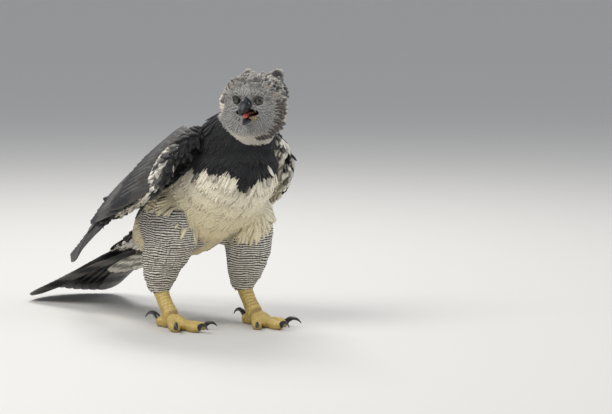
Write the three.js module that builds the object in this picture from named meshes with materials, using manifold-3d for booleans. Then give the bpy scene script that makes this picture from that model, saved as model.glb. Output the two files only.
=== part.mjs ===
// An adult harpy eagle, life size, standing with its body low and forward, its wings folded a little
// away from its sides, its head turned to its right and its bill open.
// Millimetres, +Z up. The bird faces -Y and its left side is +X. The floor is z = 0.
import * as THREE from "three";
import { mergeVertices } from "three/addons/utils/BufferGeometryUtils.js";
import Module from "manifold-3d";

const wasm = await Module();
wasm.setup();

// Driving sizes
const GAP = 0.35; // clearance kept between neighbouring pieces
const EYE_RADIUS = 10;
const HEAD_CENTRE = [2, -176, 434];
const HEAD_YAW = 58; // degrees to the bird's right
const HEAD_PITCH = 4; // degrees down
const BILL_OPEN = 25; // degrees between the mandibles
const VANE_THICKNESS = 1.1;
const TAIL_LENGTH = 385;
const TAIL_SLOPE = 20.5; // degrees down towards the tip
const SOLE = 2; // height at which the soles are cut flat
const BLUNT_END = 4; // how far a body form's end stands beyond its last station

// Stations along the back: y, z of the axis, half width, reach up, reach down
const TORSO = [
  [212, 142, 16, 9, 12],
  [190, 152, 38, 21, 28],
  [150, 170, 60, 42, 56],
  [100, 194, 80, 62, 78],
  [40, 224, 92, 81, 93],
  [-25, 256, 96, 94, 92],
  [-85, 290, 94, 102, 84],
  [-128, 324, 84, 88, 76],
  [-155, 352, 58, 48, 58],
  [-168, 368, 24, 18, 26],
];
const NECK = [
  [-100, 318, 60, 58, 54],
  [-116, 346, 76, 74, 64],
  [-132, 370, 74, 70, 63],
  [-149, 392, 64, 58, 54],
  [-162, 411, 53, 46, 45],
  [-171, 428, 40, 36, 36],
];

const v3 = (x, y, z) => new THREE.Vector3(x, y, z);
const rad = THREE.MathUtils.degToRad;
const smooth = THREE.MathUtils.smoothstep;
const lerp = THREE.MathUtils.lerp;

// A small seeded generator, so that each build is the same
let seed = 7;
function random(low = 0, high = 1) {
  seed = (seed * 16807) % 2147483647;
  return low + ((high - low) * seed) / 2147483647;
}

// Catmull-Rom interpolation of rows of numbers at t from 0 to 1
function along(rows, t) {
  const x = THREE.MathUtils.clamp(t, 0, 1) * (rows.length - 1);
  const i = Math.min(Math.floor(x), rows.length - 2);
  const f = x - i;
  const row = (k) => rows[THREE.MathUtils.clamp(k, 0, rows.length - 1)];
  return rows[0].map((_, c) => {
    const [a, b, d, e] = [row(i - 1)[c], row(i)[c], row(i + 1)[c], row(i + 2)[c]];
    return b + 0.5 * f * (d - a + f * (2 * a - 5 * b + 4 * d - e + f * (3 * (b - d) + e - a)));
  });
}

// Solids

function solid(points, triangles) {
  const geometry = new THREE.BufferGeometry();
  geometry.setAttribute("position", new THREE.Float32BufferAttribute(points.flatMap((p) => p.toArray()), 3));
  geometry.setIndex(triangles.flat());
  return solidOf(geometry);
}

function solidOf(geometry) {
  const bare = geometry.clone();
  bare.deleteAttribute("normal");
  bare.deleteAttribute("uv");
  const merged = mergeVertices(bare, 1e-3);
  const made = new wasm.Manifold(
    new wasm.Mesh({
      numProp: 3,
      vertProperties: new Float32Array(merged.attributes.position.array),
      triVerts: new Uint32Array(merged.index.array),
    }),
  );
  if (made.volume() > 0) return made;
  const turned = merged.index.array;
  for (let i = 0; i < turned.length; i += 3) [turned[i], turned[i + 1]] = [turned[i + 1], turned[i]];
  return solidOf(merged);
}

// Rings of points joined into one closed skin, with a point at each end
function skin(rings, first, last) {
  const n = rings[0].length;
  const points = [...rings.flat(), first, last];
  const triangles = [];
  for (let r = 0; r + 1 < rings.length; r++) {
    for (let i = 0; i < n; i++) {
      const j = (i + 1) % n;
      const [a, b, c, d] = [r * n + i, r * n + j, (r + 1) * n + i, (r + 1) * n + j];
      triangles.push([a, b, c], [b, d, c]);
    }
  }
  const [start, end] = [rings.length * n, rings.length * n + 1];
  for (let i = 0; i < n; i++) {
    const j = (i + 1) % n;
    triangles.push([start, j, i], [end, (rings.length - 1) * n + i, (rings.length - 1) * n + j]);
  }
  return solid(points, triangles);
}

// A body form swept along stations of y, z, half width, reach up and reach down, grown by extra
function bodyForm(stations, rings, sides, extra = 0) {
  const made = [];
  const at = (t) => along(stations, t);
  for (let r = 0; r < rings; r++) {
    const t = r / (rings - 1);
    const [y, z, w, up, down] = at(t);
    const [y0, z0] = at(t - 0.02);
    const [y1, z1] = at(t + 0.02);
    const forward = v3(0, y1 - y0, z1 - z0).normalize();
    const rise = v3(0, forward.z, -forward.y).normalize();
    if (rise.z < 0) rise.negate();
    made.push(
      Array.from({ length: sides }, (_, i) => {
        const turn = (2 * Math.PI * i) / sides;
        const tall = Math.sin(turn) > 0 ? up : down;
        return v3(Math.cos(turn) * (w + extra), y, z).addScaledVector(rise, Math.sin(turn) * (tall + extra));
      }),
    );
  }
  const end = (t, near) => {
    const [y, z] = at(t);
    const [y1, z1] = at(near);
    const out = v3(0, y - y1, z - z1).normalize();
    return v3(0, y, z).addScaledVector(out, BLUNT_END + extra);
  };
  return skin(made, end(0, 0.02), end(1, 0.98));
}

// A round limb through points [x, y, z, radius sideways, radius across], its rings square to its path
function limb(rows, rings, sides, { extra = 0, cap = 0.5, upright = false } = {}) {
  const made = [];
  for (let r = 0; r < rings; r++) {
    const t = r / (rings - 1);
    const [x, y, z, a, b] = along(rows, t);
    const here = v3(x, y, z);
    const ahead = v3(...along(rows, t + 0.03)).sub(v3(...along(rows, t - 0.03))).normalize();
    const across = upright ? v3(1, 0, 0).addScaledVector(ahead, -ahead.x) : v3(0, 0, 1).cross(ahead);
    across.normalize();
    const over = ahead.clone().cross(across).normalize();
    made.push(
      Array.from({ length: sides }, (_, i) => {
        const turn = (2 * Math.PI * i) / sides;
        const p = here.clone();
        p.addScaledVector(across, Math.cos(turn) * (a + extra));
        p.addScaledVector(over, Math.sin(turn) * (b + extra));
        return p;
      }),
    );
  }
  const tip = (t, near) => {
    const [x, y, z, a] = along(rows, t);
    const out = v3(x, y, z).sub(v3(...along(rows, near))).normalize();
    return v3(x, y, z).addScaledVector(out, a * cap + extra);
  };
  return skin(made, tip(0, 0.03), tip(1, 0.97));
}

const union = (pieces) => wasm.Manifold.union(pieces);
const largest = (made) => made.decompose().sort((a, b) => b.volume() - a.volume())[0];

// A feather vane over a surface: place(s, across) gives a point and its outward normal, s from root to tip
function vane(place, width, options = {}) {
  const { steps = 5, thick = VANE_THICKNESS, point = 0.5, camber = 0.06, columns = [-1, 0, 1] } = options;
  const last = columns.length - 1;
  const rows = [];
  for (let k = 0; k <= steps; k++) {
    const s = k / steps;
    const full = Math.min(1, 0.45 + 1.6 * s);
    const close = Math.sqrt(Math.max(0, 1 - Math.pow(Math.max(0, (s - point) / (1 - point)), 2.4)));
    const half = Math.max(0.5 * width * full * close, s === 1 ? 0.09 * width : 0);
    const t = thick * lerp(1, 0.6, s);
    rows.push(
      columns.flatMap((side) => {
        const { at, out } = place(s, side * half);
        const lift = side === 0 ? camber * width * 0.5 : 0;
        return [
          at.clone().addScaledVector(out, lift + t / 2),
          at.clone().addScaledVector(out, lift - t / 2),
        ];
      }),
    );
  }
  const id = (k, side, face) => (k * columns.length + side) * 2 + face;
  const triangles = [];
  for (let k = 0; k < steps; k++) {
    for (let side = 0; side < last; side++) {
      for (const face of [0, 1]) {
        const [a, b] = [id(k, side, face), id(k, side + 1, face)];
        const [c, d] = [id(k + 1, side, face), id(k + 1, side + 1, face)];
        triangles.push(...(face === 0 ? [[a, b, c], [b, d, c]] : [[a, c, b], [b, c, d]]));
      }
    }
    for (const side of [0, last]) {
      const [a, b, c, d] = [id(k, side, 0), id(k, side, 1), id(k + 1, side, 0), id(k + 1, side, 1)];
      triangles.push(...(side === 0 ? [[a, c, b], [b, c, d]] : [[a, b, c], [b, d, c]]));
    }
  }
  for (let side = 0; side < last; side++) {
    const near = [id(0, side, 0), id(0, side + 1, 0), id(0, side, 1), id(0, side + 1, 1)];
    triangles.push([near[0], near[2], near[1]], [near[1], near[2], near[3]]);
    const far = [id(steps, side, 0), id(steps, side + 1, 0), id(steps, side, 1), id(steps, side + 1, 1)];
    triangles.push([far[0], far[1], far[2]], [far[1], far[3], far[2]]);
  }
  return solid(rows.flat(), triangles);
}

// The wing's own surface: u runs from the wrist to the tip, v from the lower edge to the upper edge
// The left wing is held close, the right one arched a little away
const WINGS = {
  left: {
    side: 1,
    low: [
      [128, -98, 322],
      [144, -84, 272],
      [152, -10, 222],
      [142, 98, 172],
      [114, 215, 130],
      [90, 315, 112],
      [68, 392, 100],
    ],
    high: [
      [76, -112, 366],
      [60, -90, 384],
      [52, -36, 368],
      [46, 50, 308],
      [42, 160, 242],
      [44, 285, 174],
      [50, 384, 122],
    ],
  },
  right: {
    side: -1,
    low: [
      [134, -104, 322],
      [158, -92, 276],
      [176, -16, 232],
      [178, 92, 192],
      [146, 212, 146],
      [98, 315, 114],
      [68, 392, 100],
    ],
    high: [
      [78, -116, 368],
      [62, -94, 388],
      [58, -38, 378],
      [60, 48, 330],
      [56, 158, 262],
      [48, 285, 180],
      [50, 384, 122],
    ],
  },
};
const WING_BULGE = 24; // how far the wing arches outwards between its edges, at the wrist
const BULGE_WAY = v3(0.9, -0.1, 0.4);
const ARM = { along: 10, across: 8, length: 0.5, outer: 15, inner: 15, lower: 6, shoulder: 24 };
const FLIGHT = { primaries: 6, secondaries: 7, greater: 8, median: 7 };
const FLIGHT_LAYER = 1.6; // from one flight feather to the next

function wingPoint(held, u, v, high = 0) {
  const on = (uu, vv) => {
    const low = v3(...along(held.low, uu));
    const top = v3(...along(held.high, uu));
    const arch = WING_BULGE * Math.sin(Math.PI * vv) * (1 - 0.7 * uu);
    return low.lerp(top, vv).addScaledVector(BULGE_WAY, arch);
  };
  const at = on(u, v);
  const du = on(u + 0.01, v).sub(on(u - 0.01, v));
  const dv = on(u, v + 0.01).sub(on(u, v - 0.01));
  const out = du.cross(dv).normalize();
  if (out.x < 0) out.negate();
  return { at: at.addScaledVector(out, high), out };
}

// One wing feather from (u0, v0) to (u1, v1), lying high above the wing's surface and tilted so that each
// covers the edge of the next
function wingVane(held, [u0, v0], [u1, v1], width, high, options = {}) {
  const tilt = options.tilt ?? 0;
  const place = (s, across) => {
    const u = lerp(u0, u1, s);
    const v = lerp(v0, v1, s);
    const here = wingPoint(held, u, v);
    const span = wingPoint(held, u, v + 0.01).at.distanceTo(here.at) / 0.01;
    const spot = wingPoint(held, u, v + across / span);
    const height = lerp(options.rootHigh ?? high, high, smooth(s, 0.05, 0.4)) + tilt * across;
    return { at: spot.at.addScaledVector(spot.out, height), out: spot.out };
  };
  return vane(place, width, { camber: 0.015, ...options });
}

function wing(held, torsoCutter) {
  // The arm and its small coverts: a pillow between an outer and an inner face, deep over the shoulder
  const [nu, nv] = [ARM.along, ARM.across];
  const face = (sign) =>
    Array.from({ length: nu + 1 }, (_, i) =>
      Array.from({ length: nv + 1 }, (_, j) => {
        const [a, b] = [i / nu, j / nv];
        const round = Math.pow(Math.sin(Math.PI * Math.pow(a, 0.62)), 0.55);
        const fat = round * Math.pow(Math.sin(Math.PI * b), 0.5);
        const shoulder = smooth(b, 0.4, 0.85) * (1 - smooth(a, 0.55, 0.95));
        const deep = ARM.inner + ARM.lower * smooth(b, 0.5, 0.9) + ARM.shoulder * shoulder;
        return wingPoint(held, a * ARM.length, b, sign > 0 ? ARM.outer * fat : -deep * fat).at;
      }),
    );
  const [outer, inner] = [face(1), face(-1)];
  const points = [...outer.flat(), ...inner.flat()];
  const id = (side, i, j) => side * (nu + 1) * (nv + 1) + i * (nv + 1) + j;
  const triangles = [];
  for (let i = 0; i < nu; i++) {
    for (let j = 0; j < nv; j++) {
      for (const side of [0, 1]) {
        const [a, b, c, d] = [id(side, i, j), id(side, i, j + 1), id(side, i + 1, j), id(side, i + 1, j + 1)];
        triangles.push(...(side === 0 ? [[a, b, c], [b, d, c]] : [[a, c, b], [b, c, d]]));
      }
    }
  }
  const pieces = [solid(points, triangles)];
  // primaries and secondaries, then two tiers of coverts over their roots
  for (let i = 0; i < FLIGHT.primaries; i++) {
    const f = i / (FLIGHT.primaries - 1);
    const root = [0.27, 0.2 + 0.2 * f];
    const tip = [1.0 - 0.16 * f, 0.14 + 0.36 * f];
    const options = { steps: 5, point: 0.66, rootHigh: -3 + 0.5 * i };
    pieces.push(wingVane(held, root, tip, 46 + 6 * f, -13 + FLIGHT_LAYER * i, options));
  }
  for (let i = 0; i < FLIGHT.secondaries; i++) {
    const f = i / (FLIGHT.secondaries - 1);
    const root = [0.34, 0.3 + 0.6 * f];
    const tip = [0.75 - 0.1 * f + random(-0.008, 0.008), 0.42 + 0.46 * f];
    const options = { steps: 4, point: 0.68, rootHigh: 0.5 * i };
    pieces.push(wingVane(held, root, tip, 58, -4.5 + FLIGHT_LAYER * i, options));
  }
  for (let i = 0; i < FLIGHT.greater; i++) {
    const f = i / (FLIGHT.greater - 1);
    const root = [0.3, 0.1 + 0.78 * f];
    const tip = [0.56 - 0.03 * f + random(-0.008, 0.008), 0.14 + 0.75 * f];
    pieces.push(wingVane(held, root, tip, 40, 9, { steps: 3, point: 0.6, tilt: 0.1, rootHigh: 3 }));
  }
  for (let i = 0; i < FLIGHT.median; i++) {
    const f = i / (FLIGHT.median - 1);
    const root = [0.24, 0.12 + 0.75 * f];
    const tip = [0.43 + random(-0.008, 0.008), 0.14 + 0.74 * f];
    pieces.push(wingVane(held, root, tip, 38, 14, { steps: 2, point: 0.4, tilt: 0.1, rootHigh: 6 }));
  }
  const made = union(pieces);
  return largest((held.side < 0 ? made.mirror([1, 0, 0]) : made).subtract(torsoCutter));
}

// The tail: twelve broad feathers laid over one another from the middle pair outwards, and coverts
// above and below their roots
const TAIL_STUMP = [
  [0, 150, 164, 40, 26],
  [0, 200, 148, 38, 20],
  [0, 250, 130, 30, 12],
  [0, 290, 116, 20, 6],
];
const TAIL_FEATHER = { first: 1.2, spread: 2.5, width: 52, layer: 1.9, sag: 10 };
const TAIL_COVERTS = { above: 12.5, below: -26, layer: 2.2, spread: 5.5 };

function tail(torsoCutter) {
  const root = v3(0, 168, 158);
  const back = v3(0, Math.cos(rad(TAIL_SLOPE)), -Math.sin(rad(TAIL_SLOPE)));
  const up = v3(0, -back.z, back.y);
  const pieces = [limb(TAIL_STUMP, 6, 14)];
  const feather = (angle, length, width, high, options) => {
    const way = v3(Math.sin(rad(angle)), 0, 0).addScaledVector(back, Math.cos(rad(angle)));
    const side = way.clone().cross(up).normalize();
    return vane(
      (s, across) => {
        const at = root.clone().addScaledVector(way, lerp(30, length, s)).addScaledVector(side, across);
        return { at: at.addScaledVector(up, high - TAIL_FEATHER.sag * s * s), out: up.clone() };
      },
      width,
      options,
    );
  };
  for (let i = 0; i < 6; i++) {
    for (const side of [-1, 1]) {
      const high = 4 - TAIL_FEATHER.layer * (2 * i + (side > 0 ? 1 : 0));
      const angle = side * (TAIL_FEATHER.first + TAIL_FEATHER.spread * i);
      const length = TAIL_LENGTH - 0.875 * i * i;
      const options = { steps: 5, point: 0.84, thick: 1.2 };
      pieces.push(feather(angle, length, TAIL_FEATHER.width, high, options));
    }
  }
  for (let i = 0; i < 7; i++) {
    const f = i - 3;
    const angle = f * TAIL_COVERTS.spread;
    const layer = (i % 2) * TAIL_COVERTS.layer;
    const options = { steps: 3, point: 0.4 };
    const above = 128 - 4 * Math.abs(f) + random(-4, 4);
    pieces.push(feather(angle, above, 34, TAIL_COVERTS.above + layer, options));
    const below = 150 - 6 * Math.abs(f) + random(-4, 4);
    pieces.push(feather(angle, below, 36, TAIL_COVERTS.below - layer, options));
  }
  return largest(union(pieces).subtract(torsoCutter));
}

// The head, in its own frame: x is forward, y the bird's left, z up, turned and placed afterwards
const headFrame = new THREE.Matrix4()
  .makeTranslation(...HEAD_CENTRE)
  .multiply(new THREE.Matrix4().makeRotationZ(rad(-90 - HEAD_YAW)))
  .multiply(new THREE.Matrix4().makeRotationY(rad(HEAD_PITCH)));
const inHead = (made) => made.transform(headFrame.elements);
const EYE = { forward: 30, side: 21.5, up: 13.5 };
const HEAD = { front: 46, back: 60, halfWidth: 60, above: 54, below: 70 };
const LID = { radius: 9, thick: 2.2, turn: 32, forward: 5, out: 3.1 };
const RUFF = { rows: 2, count: 12, polar: 1.12, step: 0.3, length: 28, width: 20 };
const CROWN = { rows: 3, polar: 0.98, step: 0.27, length: 21, longer: 4.5, width: 17 };
const CREST = { count: 9, polar: 1.72, length: 52, shorter: 14, width: 20 };
const GAPE = { size: [20, 22, 6.5], at: [42, 0, -9] };
const NOSTRIL = { size: [2.3, 2.8, 3], forward: 51, side: 8.6, up: 9 };
const HINGE = { forward: 23, up: -7.5 }; // the corner of the mouth
const TONGUE_SHARE = 0.6; // how far the tongue follows the lower mandible

// The head's surface in the direction of polar angle a from the bill and turn b round it
function headPoint(a, b, extra = 0) {
  const [c, s] = [Math.cos(a), Math.sin(a)];
  const [side, up] = [Math.cos(b), Math.sin(b)];
  const front = c > 0 ? HEAD.front : HEAD.back;
  const tall = up > 0 ? HEAD.above : HEAD.below;
  let wide = HEAD.halfWidth;
  // the disc's rim bulges at the cheeks, the crown is broad and flat, the throat narrows
  const rim = Math.exp(-Math.pow((a - 1.2) / 0.35, 2));
  wide += 4 * rim;
  if (up < 0) wide -= 7 * up * up;
  const square = Math.pow(Math.pow(Math.abs(side), 2.5) + Math.pow(Math.abs(up), 2.5), -1 / 2.5);
  const y = wide * s * side * square;
  const z = tall * s * up * square;
  // brow ridges over the eyes, hollow lores beside the bill and a dished face
  const off = Math.abs(y) - EYE.side;
  const brow = Math.exp(-(Math.pow(off / 12, 2) + Math.pow((z - 26) / 6.5, 2)));
  const socket = Math.exp(-(Math.pow(off / 11, 2) + Math.pow((z - 12) / 8, 2)));
  const x = front * Math.sign(c) * Math.pow(Math.abs(c), 0.8) + (c > 0 ? 5 * brow - 7 * socket : 0);
  const p = v3(x, y, z);
  return p.add(p.clone().normalize().multiplyScalar(extra));
}

function headForm(extra = 0) {
  const [rings, sides] = [14, 24];
  const made = Array.from({ length: rings }, (_, r) =>
    Array.from({ length: sides }, (_, i) =>
      headPoint((Math.PI * (r + 1)) / (rings + 1), (2 * Math.PI * i) / sides, extra),
    ),
  );
  return skin(made, v3(HEAD.front + extra, 0, 0), v3(-HEAD.back - extra, 0, 0));
}

// A feather on the head from a point at polar angle a and turn b, running away from the bill
function headVane(a, b, length, width, { lift = 0.25, curl = 0, steps = 3 } = {}) {
  const start = headPoint(a, b, -3);
  const next = headPoint(a + 0.08, b, -3);
  const out = start.clone().normalize();
  const way = next.sub(start).normalize();
  const across = out.clone().cross(way).normalize();
  return vane(
    (s, off) => {
      const at = start.clone().addScaledVector(way, length * s).addScaledVector(across, off);
      const rise = length * (lift * s + curl * s * s) + 0.12 * off;
      return { at: at.addScaledVector(out, rise), out: out.clone() };
    },
    width,
    { steps, thick: 1.2, point: 0.45, columns: [-1, 1] },
  );
}

function eyeball(side, radius) {
  const ball = new THREE.IcosahedronGeometry(radius, 2);
  ball.translate(EYE.forward, side * EYE.side, EYE.up);
  return solidOf(ball);
}

// Sections of the bill: forward, up, half width, half height
function billForm(rows, extra = 0, rings = 9, sides = 10) {
  const made = Array.from({ length: rings }, (_, r) => {
    const t = r / (rings - 1);
    const [x, z, w, h] = along(rows, t);
    const [x0, z0] = along(rows, t - 0.04);
    const [x1, z1] = along(rows, t + 0.04);
    const ahead = v3(x1 - x0, 0, z1 - z0).normalize();
    const rise = v3(-ahead.z, 0, ahead.x);
    return Array.from({ length: sides }, (_, i) => {
      const turn = (2 * Math.PI * i) / sides;
      const up = Math.sin(turn);
      const narrow = up > 0 ? 1 - 0.35 * up * up : 1;
      return v3(x, Math.cos(turn) * (w + extra) * narrow, z).addScaledVector(rise, up * (h + extra));
    });
  });
  const [x, z] = along(rows, 1);
  const [x0, z0] = along(rows, 0.94);
  const [xb, zb] = along(rows, 0);
  const tip = v3(x, 0, z).addScaledVector(v3(x - x0, 0, z - z0).normalize(), 1.5 + extra);
  return skin(made, v3(xb - 2 - extra, 0, zb), tip);
}
const BILL_UPPER = [
  [31, 6.5, 10.6, 14],
  [42, 6.5, 10, 14.5],
  [51, 6, 8.8, 13],
  [59, 4.5, 7.4, 11],
  [66, 1.2, 5.8, 7.8],
  [70, -3.2, 4, 5.2],
  [71.2, -7.4, 2.2, 3],
  [70.6, -11, 0.9, 1.2],
];
const BILL_LOWER = [
  [26, -13.5, 14.5, 4.6],
  [36, -13.8, 12, 5],
  [46.5, -13.8, 8.8, 5],
  [56, -13.2, 5.6, 3.9],
  [63, -12, 2.6, 2],
];
const TONGUE = [
  [27, -8.6, 5.2, 2.2],
  [37, -8, 5.4, 2.6],
  [46, -7.6, 5, 3.6],
  [51.5, -7.4, 4.2, 3.6],
];
// The lower mandible and the tongue swing down about the corner of the mouth
function opened(made, share = 1) {
  const turn = new THREE.Matrix4()
    .makeTranslation(HINGE.forward, 0, HINGE.up)
    .multiply(new THREE.Matrix4().makeRotationY(rad(BILL_OPEN * share)))
    .multiply(new THREE.Matrix4().makeTranslation(-HINGE.forward, 0, -HINGE.up));
  return made.transform(turn.elements);
}

function headParts(bodyCutter) {
  const upper = billForm(BILL_UPPER);
  const lower = opened(billForm(BILL_LOWER));
  const tongue = opened(billForm(TONGUE, 0, 6, 10), TONGUE_SHARE);
  const upperCut = billForm(BILL_UPPER, GAP);
  const lowerCut = opened(billForm(BILL_LOWER, GAP));
  const tongueCut = opened(billForm(TONGUE, GAP, 6, 10), TONGUE_SHARE);
  const pieces = [headForm()];
  const feathers = [];
  // lids: a rim round each eye
  for (const side of [-1, 1]) {
    const lid = new THREE.TorusGeometry(LID.radius, LID.thick, 5, 14);
    lid.rotateY(rad(90));
    lid.rotateZ(rad(side * LID.turn));
    lid.translate(EYE.forward + LID.forward, side * (EYE.side + LID.out), EYE.up);
    pieces.push(solidOf(lid));
  }
  // the rim of the facial disc, two rows of broad feathers down each cheek and round the throat
  for (let row = 0; row < RUFF.rows; row++) {
    for (let i = 0; i < RUFF.count; i++) {
      const turn = lerp(-0.1, -Math.PI + 0.1, (i + 0.4 * row) / (RUFF.count - 0.6));
      const options = { lift: 0.26 - 0.04 * row, curl: -0.12 };
      feathers.push(headVane(RUFF.polar + RUFF.step * row, turn, RUFF.length, RUFF.width, options));
    }
  }
  // curled crown feathers in rows, then the long double crest lying back over the nape
  for (let row = 0; row < CROWN.rows; row++) {
    const count = 5 + row;
    for (let i = 0; i < count; i++) {
      const turn = lerp(0.42, Math.PI - 0.42, i / (count - 1)) + random(-0.05, 0.05);
      const length = CROWN.length + CROWN.longer * row + random(-3, 3);
      const polar = CROWN.polar + CROWN.step * row;
      feathers.push(headVane(polar, turn, length, CROWN.width, { lift: 0.16, curl: 0.14 }));
    }
  }
  for (let i = 0; i < CREST.count; i++) {
    const f = i / (CREST.count - 1);
    const horn = Math.exp(-Math.pow((Math.abs(f - 0.5) - 0.36) / 0.16, 2));
    const turn = lerp(0.7, Math.PI - 0.7, f);
    const options = { lift: 0.04 + 0.2 * horn, curl: 0.3 * horn, steps: 4 };
    feathers.push(headVane(CREST.polar, turn, CREST.length - CREST.shorter * horn, CREST.width, options));
  }
  pieces.push(union(feathers).subtract(bodyCutter.transform(headFrame.clone().invert().elements)));
  let head = union(pieces);
  // the open mouth, back to its corner under the eye
  const mouth = new THREE.SphereGeometry(1, 16, 10);
  mouth.scale(...GAPE.size);
  const gape = solidOf(mouth).translate(GAPE.at);
  head = head.subtract(gape).subtract(upperCut).subtract(lowerCut).subtract(tongueCut);
  for (const side of [-1, 1]) head = head.subtract(eyeball(side, EYE_RADIUS + GAP));
  // nostrils
  const nostrils = [-1, 1].map((side) => {
    const slot = new THREE.SphereGeometry(1, 8, 6);
    slot.scale(...NOSTRIL.size);
    slot.translate(NOSTRIL.forward, side * NOSTRIL.side, NOSTRIL.up);
    return solidOf(slot);
  });
  const nodes = {
    head: largest(head),
    bill_upper: largest(upper.subtract(nostrils[0]).subtract(nostrils[1]).subtract(lowerCut)),
    bill_lower: largest(lower.subtract(tongueCut)),
    tongue: largest(tongue.subtract(upperCut)),
    eye_left: eyeball(1, EYE_RADIUS),
    eye_right: eyeball(-1, EYE_RADIUS),
  };
  return { nodes, billCutter: union([upperCut, lowerCut, tongueCut]) };
}

// Legs. Each is given by where its foot stands.
const LEGS = { left: { side: 1, foot: [76, -74] }, right: { side: -1, foot: [-76, -12] } };
const TOES = [
  { name: "inner", angle: 28, length: 66, pad: 11.5, claw: 52 },
  { name: "middle", angle: -2, length: 88, pad: 11, claw: 46 },
  { name: "outer", angle: -34, length: 70, pad: 10, claw: 40 },
  { name: "hallux", angle: 176, length: 44, pad: 13, claw: 70 },
];

// The shank's sections: behind the foot, height, half width, half depth
const SHANK = [
  [50, 96, 14, 14],
  [42, 72, 14.5, 14.5],
  [24, 46, 14, 14],
  [8, 26, 16, 16],
  [0, 14, 15, 13],
];
const PLATES = { count: 4, size: [11, 4.5, 9], tilt: -32, back: [31.5, -5], height: [74, 32] };
const FLOOR_BLOCK = { size: 400, deep: 60 }; // cuts the soles
const CLAW_CURL = 62; // degrees from the claw's root to its highest point

function thighRows({ side, foot }) {
  const [fx, fy] = foot;
  return [
    [side * 54, fy * 0.45 - 4, 268, 42, 56],
    [side * 64, fy * 0.6 - 2, 224, 50, 66],
    [side * 72, fy * 0.75 + 6, 176, 49, 60],
    [fx, fy + 32, 132, 42, 48],
    [fx, fy + 42, 94, 33, 36],
    [fx, fy + 42, 72, 23, 24],
  ];
}

function toeRows({ side, foot }, toe) {
  const [fx, fy] = foot;
  const way = rad(-90 + side * toe.angle);
  const at = (d, z, r) => [fx + Math.cos(way) * d, fy + Math.sin(way) * d, z, r, r * 0.95];
  const { length: l, pad: p } = toe;
  return [
    at(0, 22, p * 1.15),
    at(l * 0.2, 17, p * 1.05),
    at(l * 0.4, p * 0.82, p),
    at(l * 0.56, p * 0.98, p * 0.82),
    at(l * 0.74, p * 0.8, p * 0.95),
    at(l * 0.88, p * 0.85, p * 0.78),
    at(l, p * 0.95, p * 0.62),
  ];
}

function clawRows({ side, foot }, toe) {
  const [fx, fy] = foot;
  const way = rad(-90 + side * toe.angle);
  const reach = toe.claw * 0.72;
  const rows = [];
  for (let i = 0; i <= 5; i++) {
    const f = i / 5;
    const turn = rad(lerp(CLAW_CURL, -52, f));
    const d = toe.length - 5 + reach * (Math.sin(rad(CLAW_CURL)) - Math.sin(turn)) * 0.56;
    const z = toe.pad * 0.6 + reach * 0.62 * (Math.cos(turn) - Math.cos(rad(CLAW_CURL))) + 1;
    const r = lerp(toe.pad * 0.52, 0.8, Math.pow(f, 1.15));
    rows.push([fx + Math.cos(way) * d, fy + Math.sin(way) * d, Math.max(z, SOLE + r + 0.8), r * 0.85, r]);
  }
  return rows;
}

function legParts(name, torsoCutter) {
  const leg = LEGS[name];
  const [fx, fy] = leg.foot;
  const thigh = limb(thighRows(leg), 9, 16, { cap: 0.3, upright: true });
  const thighCutter = limb(thighRows(leg), 9, 16, { extra: GAP, cap: 0.3, upright: true });
  const shankRows = SHANK.map(([behind, z, a, b]) => [fx, fy + behind, z, a, b]);
  const pieces = [limb(shankRows, 7, 10, { upright: true })];
  // broad plates down the front of the shank
  for (let i = 0; i < PLATES.count; i++) {
    const f = i / (PLATES.count - 1);
    const plate = new THREE.SphereGeometry(1, 6, 4);
    plate.scale(...PLATES.size);
    plate.rotateX(rad(PLATES.tilt));
    plate.translate(fx, fy + lerp(...PLATES.back, f), lerp(...PLATES.height, f));
    pieces.push(solidOf(plate));
  }
  const claws = {};
  for (const toe of TOES) pieces.push(limb(toeRows(leg, toe), 8, 8, { cap: 0.4 }));
  // flat soles, all at one level
  const block = new THREE.BoxGeometry(FLOOR_BLOCK.size, FLOOR_BLOCK.size, FLOOR_BLOCK.deep);
  const under = solidOf(block).translate([fx, fy, SOLE - FLOOR_BLOCK.deep / 2]);
  let foot = union(pieces).subtract(under);
  for (const toe of TOES) {
    const claw = limb(clawRows(leg, toe), 6, 6, { cap: 0.5 });
    claws[`claw_${toe.name}_${name}`] = claw;
    foot = foot.subtract(limb(clawRows(leg, toe), 6, 6, { extra: GAP, cap: 0.5 }));
  }
  return {
    [`thigh_${name}`]: largest(thigh.subtract(torsoCutter)),
    [`foot_${name}`]: largest(foot.subtract(thighCutter)),
    ...claws,
  };
}

// Finishes
const finish = (color, roughness) => new THREE.MeshStandardMaterial({ color, roughness, metalness: 0 });
const SLATE = finish(0x34363a, 0.8);
const GREY = finish(0x9a9690, 0.85);
const WHITE = finish(0xe6dcc2, 0.9);
const BARRED = finish(0xb9b2a4, 0.85);
const HORN = finish(0x23262a, 0.3);
const YELLOW = finish(0xc9a548, 0.55);
const IRIS = finish(0x6b5a44, 0.1);
const RED = finish(0xa8443c, 0.4);

// Assembly
const eagle = new THREE.Group();
eagle.name = "harpy_eagle";

function add(name, made, material) {
  const mesh = made.getMesh();
  const geometry = new THREE.BufferGeometry();
  geometry.setAttribute("position", new THREE.Float32BufferAttribute(mesh.vertProperties, 3));
  geometry.setIndex(new THREE.Uint32BufferAttribute(mesh.triVerts, 1));
  geometry.computeVertexNormals();
  const node = new THREE.Mesh(geometry, material);
  node.name = name;
  eagle.add(node);
}

const torso = bodyForm(TORSO, 17, 24);
const torsoCutter = bodyForm(TORSO, 17, 24, GAP);
const neckCutter = bodyForm(NECK, 9, 20, GAP);
const head = headParts(union([torsoCutter, neckCutter]));
const headCutter = union([inHead(headForm(GAP)), inHead(head.billCutter)]);
const legs = { left: legParts("left", torsoCutter), right: legParts("right", torsoCutter) };

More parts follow.
